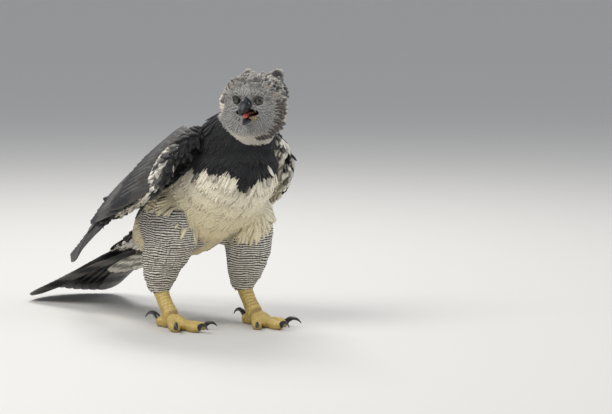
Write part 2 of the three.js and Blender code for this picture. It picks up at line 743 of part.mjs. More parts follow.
add("torso", torso, WHITE);
add("neck", largest(bodyForm(NECK, 9, 20).subtract(torsoCutter).subtract(headCutter)), SLATE);
const HEAD_FINISH = {
  head: GREY,
  bill_upper: HORN,
  bill_lower: HORN,
  tongue: RED,
  eye_left: IRIS,
  eye_right: IRIS,
};
for (const [name, made] of Object.entries(head.nodes)) {
  const placed = inHead(made);
  add(name, name === "head" ? largest(placed.subtract(torsoCutter)) : placed, HEAD_FINISH[name]);
}
for (const [name, held] of Object.entries(WINGS)) {
  add(`wing_${name}`, largest(wing(held, torsoCutter).subtract(neckCutter)), SLATE);
}
add("tail", tail(torsoCutter), SLATE);
for (const parts of Object.values(legs)) {
  for (const [name, made] of Object.entries(parts)) {
    add(name, made, name.startsWith("thigh") ? BARRED : name.startsWith("foot") ? YELLOW : HORN);
  }
}

// The origin is the middle of the floor under the bird
const box = new THREE.Box3().setFromObject(eagle);
eagle.position.set(-(box.min.x + box.max.x) / 2, -(box.min.y + box.max.y) / 2, -box.min.z);

export default eagle;
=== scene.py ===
# An adult harpy eagle with its plumage, bill, eyes and feet, dressed over its solid frame.
import math

import bmesh
import bpy
import numpy as np
from mathutils import Matrix, Vector


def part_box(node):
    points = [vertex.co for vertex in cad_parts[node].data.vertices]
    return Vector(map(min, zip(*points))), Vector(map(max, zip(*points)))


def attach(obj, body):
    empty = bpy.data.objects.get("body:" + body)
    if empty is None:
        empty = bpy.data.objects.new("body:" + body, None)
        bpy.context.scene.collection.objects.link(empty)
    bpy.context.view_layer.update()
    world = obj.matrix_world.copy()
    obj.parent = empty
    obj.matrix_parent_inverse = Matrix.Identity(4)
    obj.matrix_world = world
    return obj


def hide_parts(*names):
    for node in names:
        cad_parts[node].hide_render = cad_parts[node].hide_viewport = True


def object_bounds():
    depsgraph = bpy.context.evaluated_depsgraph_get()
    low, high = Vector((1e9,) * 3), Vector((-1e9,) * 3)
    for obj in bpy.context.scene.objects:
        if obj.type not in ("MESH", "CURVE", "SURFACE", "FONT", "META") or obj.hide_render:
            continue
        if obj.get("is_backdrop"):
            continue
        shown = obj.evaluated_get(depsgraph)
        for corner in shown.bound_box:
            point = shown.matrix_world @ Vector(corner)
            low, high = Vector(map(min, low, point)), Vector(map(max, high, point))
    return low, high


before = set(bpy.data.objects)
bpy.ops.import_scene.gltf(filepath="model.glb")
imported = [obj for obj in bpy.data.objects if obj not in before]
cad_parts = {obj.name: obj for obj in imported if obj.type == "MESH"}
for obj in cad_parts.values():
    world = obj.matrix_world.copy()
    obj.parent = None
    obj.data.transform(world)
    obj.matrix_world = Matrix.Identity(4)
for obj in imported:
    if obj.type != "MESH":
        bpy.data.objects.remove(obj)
cad_low, cad_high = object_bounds()
MM = 0.001
draw = np.random.default_rng(11)

# Sizes in millimetres, in the bird's own frame: it faces -Y, its left is +X and the floor is z = 0.
# The head has a frame of its own: x ahead, y to its left and z up, from its centre.
HEAD_CENTRE = (2, -176, 434)
HEAD_YAW = 58
HEAD_PITCH = 4
HEAD_FRONT = 46
HEAD_BACK = 60
HEAD_ABOVE = 54
HEAD_BELOW = 70
HEAD_WIDE = 60
SKIN_VOXEL = 2.6
COAT_DEPTH = 3.6
# the body's middle line from the tail to the head, as y and z
SPINE = np.array([[212, 142], [150, 170], [40, 224], [-85, 290], [-140, 372], [-170, 428]], float)

EYE = (30, 21.5, 13.5)
EYE_RADIUS = 10
# how far each eye looks ahead and aside
GAZE = (0.86, 0.5)
# degrees from the middle of the eye at which its rings begin and end
PUPIL_EDGE = (20, 23)
IRIS_SHADE = (36, 50)
IRIS_EDGE = (50, 54)
LID_RADIUS = 8.7
LID_THICKNESS = 1.3
LID_DEPTH = 5.4
LID_HEIGHTS = (0.68, 0.82)
# half width and half height of the bare opening round the eye
EYE_OPENING = (11.2, 9.2)

# Bill and tongue: x, z, half width, half height
BILL_UPPER = [
    [31, 6.5, 10.6, 14],
    [42, 6.5, 10, 14.5],
    [51, 6, 8.8, 13],
    [59, 4.5, 7.4, 11],
    [66, 1.2, 5.8, 7.8],
    [70, -3.2, 4, 5.2],
    [71.2, -7.4, 2.2, 3],
    [70.6, -11, 0.9, 1.2],
]
BILL_LOWER = [
    [26, -13.5, 14.5, 4.6],
    [36, -13.8, 12, 5],
    [46.5, -13.8, 8.8, 5],
    [56, -13.2, 5.6, 3.9],
    [63, -12, 2.6, 2],
]
TONGUE = [[27, -8.6, 5.2, 2.2], [37, -8, 5.4, 2.8], [46, -7.6, 5, 4], [52, -7.4, 4.6, 4.4]]
BILL_OPEN = 25
TONGUE_SHARE = 0.6
HINGE = np.array([23, 0, -7.5])
CERE_EDGE = (52, 54)
NOSTRIL = (50, 9.5)
MOUTH_CENTRE = np.array([40, 0, -9.5])
MOUTH_SIZE = np.array([22, 23, 7])
LINING_CENTRE = np.array([28, 0, -9])
LINING_SIZE = np.array([16, 16, 5.5])

# Each wing: its side, then its lower and its upper edge from the wrist. Both wings end in the same tip.
WING_TIP = [[68, 392, 100], [50, 384, 122]]
WINGS = {
    "left": (
        1,
        [[128, -98, 322], [144, -84, 272], [152, -10, 222], [142, 98, 172], [114, 215, 130], [90, 315, 112]],
        [[76, -112, 366], [60, -90, 384], [52, -36, 368], [46, 50, 308], [42, 160, 242], [44, 285, 174]],
    ),
    "right": (
        -1,
        [[134, -104, 322], [158, -92, 276], [176, -16, 232], [178, 92, 192], [146, 212, 146], [98, 315, 114]],
        [[78, -116, 368], [62, -94, 388], [58, -38, 378], [60, 48, 330], [56, 158, 262], [48, 285, 180]],
    ),
}
WING_BULGE = 24
WING_LENGTH = 520
ARM_SHARE = 0.5
ARM_COAT_END = 118
TAIL_ROOT = np.array([0, 168, 158])
TAIL_LENGTH = 385
TAIL_SLOPE = 20.5

# Each leg: its side, then where it stands as x and y
LEGS = {"left": (1, 76, -74), "right": (-1, -76, -12)}
# Each toe: angle, length, pad radius, claw length
TOES = {
    "inner": (28, 66, 11.5, 52),
    "middle": (-2, 88, 11, 46),
    "outer": (-34, 70, 10, 40),
    "hallux": (176, 44, 13, 70),
}
SOLE = 2.1
SHANK_PLATE = 7.5
TOE_PLATE = 4.6
PLATE_RISE = 0.9
CLAW_CURL = (62, -52)

# Markings: the height of the breast band's lower edge, and the one white feather on it
BAND_LOW = 316
STRAY_FEATHER = (14, -172, 320)
# the golden streak beside the lower mandible: its start and its way, as y and z, and its radius
STREAK_START = np.array([15.5, -14.5])
STREAK_WAY = np.array([-15.5, -11.5])
STREAK_RADIUS = 2.2

# A small vane: rows along it, each with its share of the full width; the side of its bake patch as a
# share of the map; and the most vanes in one mesh
VANE_ROWS = np.array([0.0, 0.3, 0.58, 0.82, 0.96])
VANE_WIDTHS = np.array([0.35, 0.92, 1.0, 0.72, 0.3])
PATCH = 0.003
COAT_LIMIT = 6800
# points across a long vane, and how far a bake cell is longer than wide
LONG_COLUMNS = 7
CELL_SHAPE = 5

# Colours, linear
CREAM = np.array([0.86, 0.76, 0.51])
WHITE = np.array([0.84, 0.80, 0.70])
BUFF = np.array([0.72, 0.52, 0.22])
SLATE = np.array([0.011, 0.0115, 0.013])
SLATE_EDGE = np.array([0.085, 0.082, 0.08])
BAR_BLACK = np.array([0.018, 0.018, 0.02])
HEAD_GREY = np.array([0.29, 0.285, 0.275])
HEAD_PALE = np.array([0.62, 0.56, 0.47])
HEAD_DARK = np.array([0.05, 0.046, 0.045])
HEAD_FLECK = np.array([0.11, 0.085, 0.068])
LORE = np.array([0.05, 0.048, 0.046])
STREAK_GOLD = np.array([0.52, 0.33, 0.07])
RIM_TIP = np.array([0.6, 0.55, 0.47])
# painted shadow: the dark tone of the disc's inner rows, for the shadow in the groove under its rim
RIM_SHADOW = np.array([0.075, 0.06, 0.05])
CROWN_FRONT = np.array([0.15, 0.145, 0.14])
CROWN_BROWN = np.array([0.24, 0.21, 0.18])
CROWN_TIP = np.array([0.4, 0.375, 0.34])
CREST_BASE = np.array([0.025, 0.023, 0.023])
CREST_TIP = np.array([0.5, 0.46, 0.4])
WING_DARK = np.array([0.03, 0.03, 0.032])
WING_GREY = np.array([0.1, 0.094, 0.088])
TAIL_GREY = np.array([0.16, 0.15, 0.14])
TAIL_TIP = np.array([0.3, 0.28, 0.25])
TAIL_COVERT_TIP = np.array([0.2, 0.19, 0.17])
PUPIL = np.array([0.002, 0.002, 0.002])
IRIS = np.array([0.068, 0.065, 0.045])
IRIS_RIM = np.array([0.03, 0.026, 0.02])
EYE_BLACK = np.array([0.012, 0.01, 0.01])
LID_GREY = (0.022, 0.021, 0.02)
# the inside of the mouth: red flesh darkened almost to black as painted shade
MOUTH_SHADE_RED = (0.03, 0.008, 0.007)
FOOT_YELLOW = np.array([0.52, 0.37, 0.10])
PLATE_YELLOW = np.array([0.68, 0.52, 0.2])
CREASE_BROWN = np.array([0.26, 0.17, 0.06])
SOLE_BROWN = np.array([0.3, 0.22, 0.12])

# Camera: where it stands round the bird, and where the photo places it in its frame of 612 by 414
CAMERA_AZIMUTH = -36
CAMERA_ELEVATION = 6
CAMERA_DISTANCE = 6.0
SENSOR_WIDTH = 36
PHOTO_WIDTH = 612
PHOTO_HEIGHT = 414
PIXELS_PER_MM = 0.52
BIRD_PIXEL = (202, 325)


def lerp(a, b, t):
    return a + (b - a) * t


def tinted(colours, tone, share):
    """The colours moved towards one tone by each point's share."""
    return lerp(colours, tone, share[:, None])


def smooth(x, low, high):
    t = np.clip((np.asarray(x, float) - low) / (high - low), 0, 1)
    return t * t * (3 - 2 * t)


def bell(x, centre, width):
    return np.exp(-(((np.asarray(x, float) - centre) / width) ** 2))


def along(rows, t):
    """Catmull-Rom through the rows, at each t from 0 to 1."""
    rows = np.asarray(rows, float)
    x = np.clip(np.asarray(t, float), 0, 1) * (len(rows) - 1)
    i = np.minimum(np.floor(x).astype(int), len(rows) - 2)
    f = (x - i)[..., None]
    a, b, d, e = (rows[np.clip(i + k, 0, len(rows) - 1)] for k in (-1, 0, 1, 2))
    return b + 0.5 * f * (d - a + f * (2 * a - 5 * b + 4 * d - e + f * (3 * (b - d) + e - a)))


def unit(v):
    return v / np.maximum(np.linalg.norm(v, axis=-1, keepdims=True), 1e-9)


def value_noise(points, scale, seed=0):
    """Smooth noise from -1 to 1 at each point, from sums of turned sine waves."""
    turn = np.random.default_rng(seed)
    total = np.zeros(len(points))
    for octave in range(4):
        way = unit(turn.normal(size=(3, 3))) * (1.7**octave) / scale
        wave = np.sin(points @ way[0] + turn.uniform(0, 6))
        total += wave * np.cos(points @ way[1] + turn.uniform(0, 6)) / 1.4**octave
    return total / 2


# Frames of reference
def turned_head():
    turn = Matrix.Rotation(math.radians(-90 - HEAD_YAW), 4, "Z")
    return Matrix.Translation(Vector(HEAD_CENTRE)) @ turn @ Matrix.Rotation(math.radians(HEAD_PITCH), 4, "Y")


HEAD = np.array(turned_head())
eye_low, eye_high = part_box("eye_left")
EYE_AT = HEAD[:3, :3] @ np.array(EYE) + HEAD[:3, 3]
SHIFT = np.array((eye_low + eye_high) / 2) - EYE_AT * MM


def to_world(points):
    return np.asarray(points, float) * MM + SHIFT


def from_world(points):
    return (np.asarray(points, float) - SHIFT) / MM


def head_to_bird(points):
    return np.asarray(points, float) @ HEAD[:3, :3].T + HEAD[:3, 3]


def bird_to_head(points):
    return (np.asarray(points, float) - HEAD[:3, 3]) @ HEAD[:3, :3]


# Materials
class Surface:
    """A new material, with short calls that add nodes and join them."""

    def __init__(self, name, roughness, specular, inputs=None):
        self.made = bpy.data.materials.new(name)
        self.made.use_nodes = True
        self.tree = self.made.node_tree
        self.shader = self.tree.nodes["Principled BSDF"]
        self.join(self.shader, {"Roughness": roughness, "Specular IOR Level": specular, **(inputs or {})})

    def join(self, node, inputs):
        """Each input takes a value, a socket, or the first output of a node."""
        for key, value in inputs.items():
            if isinstance(value, bpy.types.Node):
                value = value.outputs[0]
            if isinstance(value, bpy.types.NodeSocket):
                self.tree.links.new(value, node.inputs[key])
            else:
                node.inputs[key].default_value = value

    def add(self, kind, inputs=None, **settings):
        node = self.tree.nodes.new("ShaderNode" + kind)
        for key, value in settings.items():
            setattr(node, key, value)
        self.join(node, inputs or {})
        return node

    def painted(self, shade):
        """The colour painted on the mesh, times the shade."""
        colour = self.add("VertexColor", layer_name="plumage")
        return self.add("VectorMath", {0: colour, "Scale": shade}, operation="SCALE")

    def finished(self, base, height, bump, distance=0.0006, invert=False):
        rise = self.add("Bump", {"Strength": bump, "Distance": distance, "Height": height}, invert=invert)
        self.join(self.shader, {"Base Color": base, "Normal": rise})
        return self.made


def plumage_material(name, roughness=0.75, barb=420.0, bump=0.25, sheen=0.06, bands=None):
    """Feather colour from the mesh, streaked along the barbs of each vane, with a fine bump.
    bands is the height in metres of one wavy dark and light band."""
    surface = Surface(name, roughness, 0.3, {"Sheen Weight": sheen})
    vane = surface.add("SeparateXYZ", {0: surface.add("UVMap", uv_map="Vane")})
    # barbs run outwards and forwards from the shaft
    side = surface.add("Math", {0: vane}, operation="ABSOLUTE")
    slant = surface.add("Math", {0: side, 1: -0.9, 2: vane.outputs["Y"]}, operation="MULTIPLY_ADD")
    strand = surface.add("TexNoise", noise_dimensions="1D")
    surface.join(strand, {"W": slant, "Scale": barb, "Detail": 3.0})
    limits = {"From Min": 0.3, "From Max": 0.7, "To Min": 0.78, "To Max": 1.16}
    base = surface.painted(surface.add("MapRange", {"Value": strand, **limits}))
    if bands:
        place = surface.add("TexCoord").outputs["Object"]
        wave = surface.add("TexWave", {"Vector": place, "Scale": math.pi / 10 / bands}, bands_direction="Z")
        surface.join(wave, {"Distortion": 8.0, "Detail": 2.0, "Detail Scale": 0.45})
        step = surface.add("MapRange", {"Value": wave.outputs["Fac"], "From Min": 0.5, "From Max": 0.68})
        barred = surface.add("Mix", data_type="RGBA")
        surface.join(barred, {"Factor": step, "A": base, "B": (*BAR_BLACK, 1)})
        base = barred.outputs["Result"]
    return surface.finished(base, strand, bump)


def surface_material(name, low, high, roughness, scale, bump, distance=0.0005, coat=0.0):
    """A noisy two-tone surface in Object coordinates, for horn and flesh."""
    surface = Surface(name, roughness, 0.5, {"Coat Weight": coat, "Coat Roughness": 0.12})
    place = surface.add("TexCoord").outputs["Object"]
    cloud = surface.add("TexNoise", {"Vector": place, "Scale": scale, "Detail": 6.0})
    ramp = surface.add("ValToRGB", {"Fac": cloud})
    for stop, at, tone in zip(ramp.color_ramp.elements, (0.35, 0.66), (low, high)):
        stop.position = at
        stop.color = (*tone, 1)
    return surface.finished(ramp, cloud, bump, distance)


def tinted_material(name, roughness, scale, bump, specular=0.4, coat=0.0):
    """Colour painted on the mesh, broken up by fine cells in Object coordinates."""
    surface = Surface(name, roughness, specular, {"Coat Weight": coat, "Coat Roughness": 0.05})
    cells = surface.add("TexVoronoi", {"Vector": surface.add("TexCoord").outputs["Object"], "Scale": scale})
    shade = surface.add("MapRange", {"Value": cells, "From Max": 0.8, "To Min": 1.12, "To Max": 0.72})
    return surface.finished(surface.painted(shade), cells, bump, invert=True)


plumage = plumage_material("soft_plumage")
barred_plumage = plumage_material("barred_plumage", bands=0.0046)
flight_plumage = plumage_material("flight_feather", 0.55, 260.0, 0.35, 0.02)
skin_material = tinted_material("down_and_skin", 0.9, 900.0, 0.3)
horn = surface_material(
    "black_horn", (0.006, 0.007, 0.009), (0.03, 0.032, 0.038), 0.28, 60.0, 0.12, 0.0006, 0.35
)
claw_horn = surface_material(
    "claw_horn", (0.004, 0.004, 0.005), (0.016, 0.016, 0.018), 0.3, 90.0, 0.15, 0.0004, 0.25
)
flesh = surface_material(
    "tongue_flesh", (0.36, 0.035, 0.03), (0.55, 0.085, 0.07), 0.28, 220.0, 0.3, 0.0003, 0.4
)
# the mouth's hollow: red flesh darkened almost to black as painted shade
shaded_mouth_flesh = surface_material("mouth_lining", (0.012, 0.004, 0.004), (0.06, 0.012, 0.01), 0.4, 180.0, 0.2)
eye_material = tinted_material("wet_eye", 0.06, 4000.0, 0.0, 0.5, 0.3)
scaled_skin = tinted_material("scaled_skin", 0.5, 330.0, 0.9)


# Mesh helpers
def add_object(name, mesh, material, nodes=(), slot=None):
    made = bpy.data.objects.new(name, mesh)
    bpy.context.scene.collection.objects.link(made)
    made.data.materials.clear()
    made.data.materials.append(material)
    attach(made, "root")
    if nodes:
        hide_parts(*nodes)
    return made


def mesh_of(form, name):
    """The form as a mesh; the form is given up."""
    mesh = bpy.data.meshes.new(name)
    form.to_mesh(mesh)
    form.free()
    return mesh


def placed(form, name, points):
    """The form as a smooth closed mesh, its corners moved to the points and its faces in a fixed order."""
    for vert, point in zip(form.verts, to_world(points)):
        vert.co = point
    bmesh.ops.recalc_face_normals(form, faces=form.faces)
    form.verts.index_update()
    faces = sorted([vert.index for vert in face.verts] for face in form.faces)
    mesh = bpy.data.meshes.new(name)
    mesh.from_pydata([vert.co[:] for vert in form.verts], [], faces)
    form.free()
    mesh.shade_smooth()
    return mesh


def shaped_sphere(name, across, down, shape):
    """A closed mesh from a sphere, its polar angle and turn mapped to a point of the bird's frame."""
    form = bmesh.new()
    bmesh.ops.create_uvsphere(form, u_segments=across, v_segments=down, radius=1)
    co = np.array([v.co for v in form.verts])
    polar = np.arccos(np.clip(co[:, 2], -1, 1))
    return placed(form, name, shape(polar, np.arctan2(co[:, 1], co[:, 0])))


def shaped_ring(name, around, section, shape):
    """A closed ring spun from a small circle, the turns of its section and round it mapped to a point."""
    form = bmesh.new()
    circle = bmesh.ops.create_circle(form, segments=section, radius=0.2)["verts"]
    bmesh.ops.rotate(form, verts=circle, cent=(0, 0, 0), matrix=Matrix.Rotation(math.pi / 2, 3, "X"))
    bmesh.ops.translate(form, verts=circle, vec=(1, 0, 0))
    bmesh.ops.spin(
        form, geom=form.verts[:] + form.edges[:], cent=(0, 0, 0), axis=(0, 0, 1),
        angle=2 * math.pi, steps=around, use_merge=True,
    )
    bmesh.ops.remove_doubles(form, verts=form.verts, dist=1e-5)
    co = np.array([v.co for v in form.verts])
    turn = np.arctan2(co[:, 1], co[:, 0])
    section_turn = np.arctan2(co[:, 2], np.hypot(co[:, 0], co[:, 1]) - 1)
    return placed(form, name, shape(section_turn, turn))


def sphere_point(polar, turn):
    return np.stack([np.sin(polar) * np.cos(turn), np.sin(polar) * np.sin(turn), np.cos(polar)], -1)


def vertex_points(mesh):
    co = np.zeros(len(mesh.vertices) * 3)
    mesh.vertices.foreach_get("co", co)
    return co.reshape(-1, 3)


def vertex_normals(mesh):
    out = np.zeros(len(mesh.vertices) * 3)
    mesh.vertex_normals.foreach_get("vector", out)
    return out.reshape(-1, 3)


def set_points(mesh, co):
    mesh.vertices.foreach_set("co", np.asarray(co, np.float32).ravel())
    mesh.update()


def paint(mesh, colours):
    rgba = np.ones((len(mesh.vertices), 4), np.float32)
    rgba[:, :3] = np.clip(colours, 0, 1)
    layer = mesh.color_attributes.new("plumage", "FLOAT_COLOR", "POINT")
    layer.data.foreach_set("color", rgba.ravel())


def add_maps(mesh, maps, corners):
    """UV maps from one point per vertex, given as pairs of a name and its points."""
    for name, points in maps:
        layer = mesh.uv_layers.new(name=name)
        layer.data.foreach_set("uv", points[corners].astype(np.float32).ravel())


def swept(rows, shape_of):
    """A form for shaped_sphere that sweeps rings along rows; the poles are its two ends."""

    def shape(polar, turn):
        t = (1 - np.cos(polar)) / 2
        ring = np.sqrt(np.clip(1 - (2 * t - 1) ** 8, 0, 1))
        return shape_of(along(rows, t), along(rows, t - 0.03), along(rows, t + 0.03), ring, turn)

    return shape


# Head, bill and eyes
def head_point(a, b):
    """The head's own form, at polar angle a from the bill and turn b round it."""
    c, s = np.cos(a), np.sin(a)
    side, up = np.cos(b), np.sin(b)
    front = np.where(c > 0, HEAD_FRONT, HEAD_BACK)
    tall = np.where(up > 0, HEAD_ABOVE, HEAD_BELOW)
    # fuller at the cheeks and narrower towards the throat
    wide = HEAD_WIDE + 4 * bell(a, 1.2, 0.35) - np.where(up < 0, 7 * up * up, 0)
    square = (np.abs(side) ** 2.5 + np.abs(up) ** 2.5) ** (-1 / 2.5)
    x = front * np.sign(c) * np.abs(c) ** 0.8
    y = wide * s * side * square
    z = tall * s * up * square
    brow = bell(np.abs(y), EYE[1], 12) * bell(z, 26, 6.5)
    socket = bell(np.abs(y), EYE[1], 11) * bell(z, 12, 8)
    x = x + np.where(c > 0, 5 * brow - 7 * socket, 0)
    return np.stack([x, y, z], -1)


def bill_shape(row, before, after, ring, turn):
    ahead = unit(after[:, :2] - before[:, :2])
    up = np.sin(turn)
    narrow = np.where(up > 0, 1 - 0.45 * up * up, 1 - 0.12 * up * up)
    y = np.cos(turn) * row[:, 2] * narrow * ring
    tall = up * row[:, 3] * ring
    return np.stack([row[:, 0] - ahead[:, 1] * tall, y, row[:, 1] + ahead[:, 0] * tall], -1)


def swung_open(points, share=1.0):
    turn = np.array(Matrix.Rotation(math.radians(BILL_OPEN * share), 3, "Y"))
    return (points - HINGE) @ turn.T + HINGE


def upper_bill(polar, turn):
    p = swept(BILL_UPPER, bill_shape)(polar, turn)
    nostril = bell(p[:, 0], NOSTRIL[0], 2.1) * bell(p[:, 2], NOSTRIL[1], 2.8)
    p[:, 1] *= 1 - 0.3 * nostril
    cere = 1 - smooth(p[:, 0], *CERE_EDGE)
    p[:, 1] *= 1 + 0.08 * cere
    p[:, 2] += 1.1 * cere * (p[:, 2] > 6)
    return head_to_bird(p)


def lower_bill(polar, turn):
    return head_to_bird(swung_open(swept(BILL_LOWER, bill_shape)(polar, turn)))


def tongue(polar, turn):
    return head_to_bird(swung_open(swept(TONGUE, bill_shape)(polar, turn), TONGUE_SHARE))


def mouth_lining(polar, turn):
    return head_to_bird(LINING_CENTRE + np.roll(sphere_point(polar, turn), 1, -1) * LINING_SIZE)


def make_bill():
    for name, across, down, shape, material, node, slot in (
        ("bill_upper_horn", 48, 64, upper_bill, horn, ["bill_upper"], "horn"),
        ("bill_lower_horn", 40, 40, lower_bill, horn, ["bill_lower"], "horn"),
        ("tongue_flesh", 28, 24, tongue, flesh, ["tongue"], "tongue"),
        ("mouth_lining", 28, 20, mouth_lining, shaded_mouth_flesh, [], "tongue"),
    ):
        add_object(name, shaped_sphere(name, across, down, shape), material, node, slot)


def eye_centre(side):
    return np.array([EYE[0], side * EYE[1], EYE[2]])


def eye_axes(side):
    """The way an eye looks, the way across it and the way up it."""
    gaze = unit(np.array([GAZE[0], side * GAZE[1], 0.0]))
    aside = unit(np.cross([0, 0, 1], gaze))
    return gaze, aside, np.cross(gaze, aside)


def make_eye(name, side):
    gaze, aside, above = eye_axes(side)

    def ball(polar, turn):
        return head_to_bird(eye_centre(side) + sphere_point(polar, turn) * EYE_RADIUS)

    mesh = shaped_sphere(f"eyeball_{name}", 96, 72, ball)
    p = unit(bird_to_head(from_world(vertex_points(mesh))) - eye_centre(side))
    angle = np.degrees(np.arccos(np.clip(p @ gaze, -1, 1)))
    ray = value_noise(p * EYE_RADIUS, 0.6, 5)[:, None]
    iris = tinted(IRIS * (1 + 0.25 * ray), IRIS_RIM, smooth(angle, *IRIS_SHADE))
    colour = lerp(PUPIL, iris, smooth(angle, *PUPIL_EDGE)[:, None])
    paint(mesh, tinted(colour, EYE_BLACK, smooth(angle, *IRIS_EDGE)))
    add_object(f"eyeball_{name}", mesh, eye_material, [f"eye_{name}"], "iris")

    # a fold round the eye, heavier above, where the brow shades it
    def lid(ring, turn):
        lift = np.sin(turn)
        upper = np.maximum(lift, 0)
        fat = LID_THICKNESS + LID_THICKNESS * upper
        radius = LID_RADIUS + np.cos(ring) * fat
        tall = np.where(lift > 0, *LID_HEIGHTS)
        depth = LID_DEPTH + 1.5 * upper + np.sin(ring) * fat
        flat = (np.cos(turn) * radius)[:, None] * aside + (lift * radius * tall)[:, None] * above
        return head_to_bird(eye_centre(side) + flat + depth[:, None] * gaze)

    mesh = shaped_ring(f"lid_{name}", 48, 14, lid)
    paint(mesh, LID_GREY)
    add_object(f"lid_{name}", mesh, scaled_skin, slot="grey_feather")


# The skin under the plumage
def copy_of(node):
    form = bmesh.new()
    form.from_mesh(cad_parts[node].data)
    bmesh.ops.remove_doubles(form, verts=form.verts, dist=1e-6)
    return mesh_of(form, node + "_copy")


def remeshed(name, meshes, voxel, rounds):
    """The meshes as one closed skin of the given voxel size, smoothed."""
    form = bmesh.new()
    for mesh in meshes:
        form.from_mesh(mesh)
    holder = bpy.data.objects.new(name, mesh_of(form, name))
    bpy.context.scene.collection.objects.link(holder)
    change = holder.modifiers.new("voxels", "REMESH")
    change.mode = "VOXEL"
    change.voxel_size = voxel * MM
    relax = holder.modifiers.new("relax", "SMOOTH")
    relax.iterations = rounds
    relax.factor = 0.5
    done = bpy.data.meshes.new_from_object(holder.evaluated_get(bpy.context.evaluated_depsgraph_get()))
    bpy.data.objects.remove(holder)
    done.shade_smooth()
    return done


def carve_mouth(points):
    """Pushes the points inside the open mouth back to the far side of its hollow."""
    local = bird_to_head(points)
    q = (local - MOUTH_CENTRE) / MOUTH_SIZE
    inside = (q**2).sum(1) < 1
    room = np.sqrt(np.clip(1 - q[:, 1] ** 2 - q[:, 2] ** 2, 0, 1))
    local[inside, 0] = MOUTH_CENTRE[0] - MOUTH_SIZE[0] * room[inside]
    return head_to_bird(local), inside


def make_skin():
    def head(polar, turn):
        return head_to_bird(head_point(polar, turn))

    covered = ["torso", "neck", "head", "thigh_left", "thigh_right"]
    parts = [copy_of(node) for node in covered if node != "head"]
    parts.append(shaped_sphere("head_form", 96, 64, head))
    mesh = remeshed("skin", parts, SKIN_VOXEL, 10)
    points = from_world(vertex_points(mesh) - vertex_normals(mesh) * COAT_DEPTH * MM)
    points, inside = carve_mouth(points)
    set_points(mesh, to_world(points))
    colour = skin_colour(points)
    # painted shade: the skin inside the open mouth takes the mouth's red, darkened almost to black
    colour[inside] = MOUTH_SHADE_RED
    paint(mesh, colour)
    add_object("skin", mesh, skin_material, covered, "white_feather")
    return mesh


# Markings, by place on the bird
def spine_place(points):
    """How far along the spine each point lies, from 0 at the tail to 1 at the head, and how far below it."""
    t = np.linspace(0, 1, 120)
    line = along(SPINE, t)
    share = t[((points[:, None, 1:] - line[None]) ** 2).sum(-1).argmin(1)]
    ahead = unit(along(SPINE, share + 0.02) - along(SPINE, share - 0.02))
    gap = points[:, 1:] - along(SPINE, share)
    return share, gap[:, 1] * ahead[:, 0] - gap[:, 0] * ahead[:, 1]


def back_share(points):
    """1 on the back, 0 on the breast and belly."""
    return smooth(-spine_place(points)[1], 10, 26)


def leg_share(points):
    """1 on the thighs, 0 on the body."""
    near = np.zeros(len(points))
    for side, x, y in LEGS.values():
        outer = smooth(points[:, 0] * side, 55, 90)
        lower = smooth(-points[:, 2], -198 - 45 * outer, -165 - 62 * outer)
        beside = (np.abs(points[:, 0] - x) < 62) * (np.abs(points[:, 1] - y - 30) < 85)
        near = np.maximum(near, lower * beside)
    return near


def off_head(points):
    """How far each point lies from the middle of the head, with the head's height squeezed to its width."""
    return np.linalg.norm(bird_to_head(points) / np.array([1, 1, 1.12]), axis=1)


def head_zone(points):
    """1 where the skin is the head's, 0 below it."""
    return smooth(-off_head(points), -72, -68) * smooth(points[:, 2], 358, 364)


def skin_colour(points):
    """The plumage's colour at each point of the bird's frame."""
    x, y, z = points.T
    rough = value_noise(points, 17, 3)
    fine = value_noise(points, 6, 4)
    colour = lerp(CREAM, WHITE, (0.6 * smooth(z + 0.3 * x, 200, 290))[:, None])
    colour = colour * (1 + 0.07 * rough[:, None])
    # buff stain low on the belly
    colour = tinted(colour, BUFF, smooth(-z, -235, -150) * smooth(rough, -0.3, 1.0) * 0.5)
    # the dark breast band, with its point on the midline, and the slate back
    edge = z + 4 * fine + 3 * rough
    point_low = BAND_LOW - 7 * smooth(x, -10, 40) - 32 * bell(x, -20, 21)
    band = smooth(edge, point_low - 2, point_low + 3) * smooth(-y, 20, 60)
    dark = np.maximum(band, smooth(back_share(points) + 0.3 * fine, 0.3, 0.6))
    colour = lerp(colour, SLATE * (1 + 0.5 * fine[:, None]), dark[:, None])
    # thighs, white and barred
    bars = smooth(np.sin(z / 1.9 + 1.5 * rough), 0.05, 0.5)[:, None]
    colour = lerp(colour, lerp(WHITE * 0.85, BAR_BLACK, bars), leg_share(points)[:, None])
    on_head = smooth(head_zone(points), 0.5, 0.56)[:, None]
    return lerp(colour, head_colour(bird_to_head(points), rough, fine), on_head)


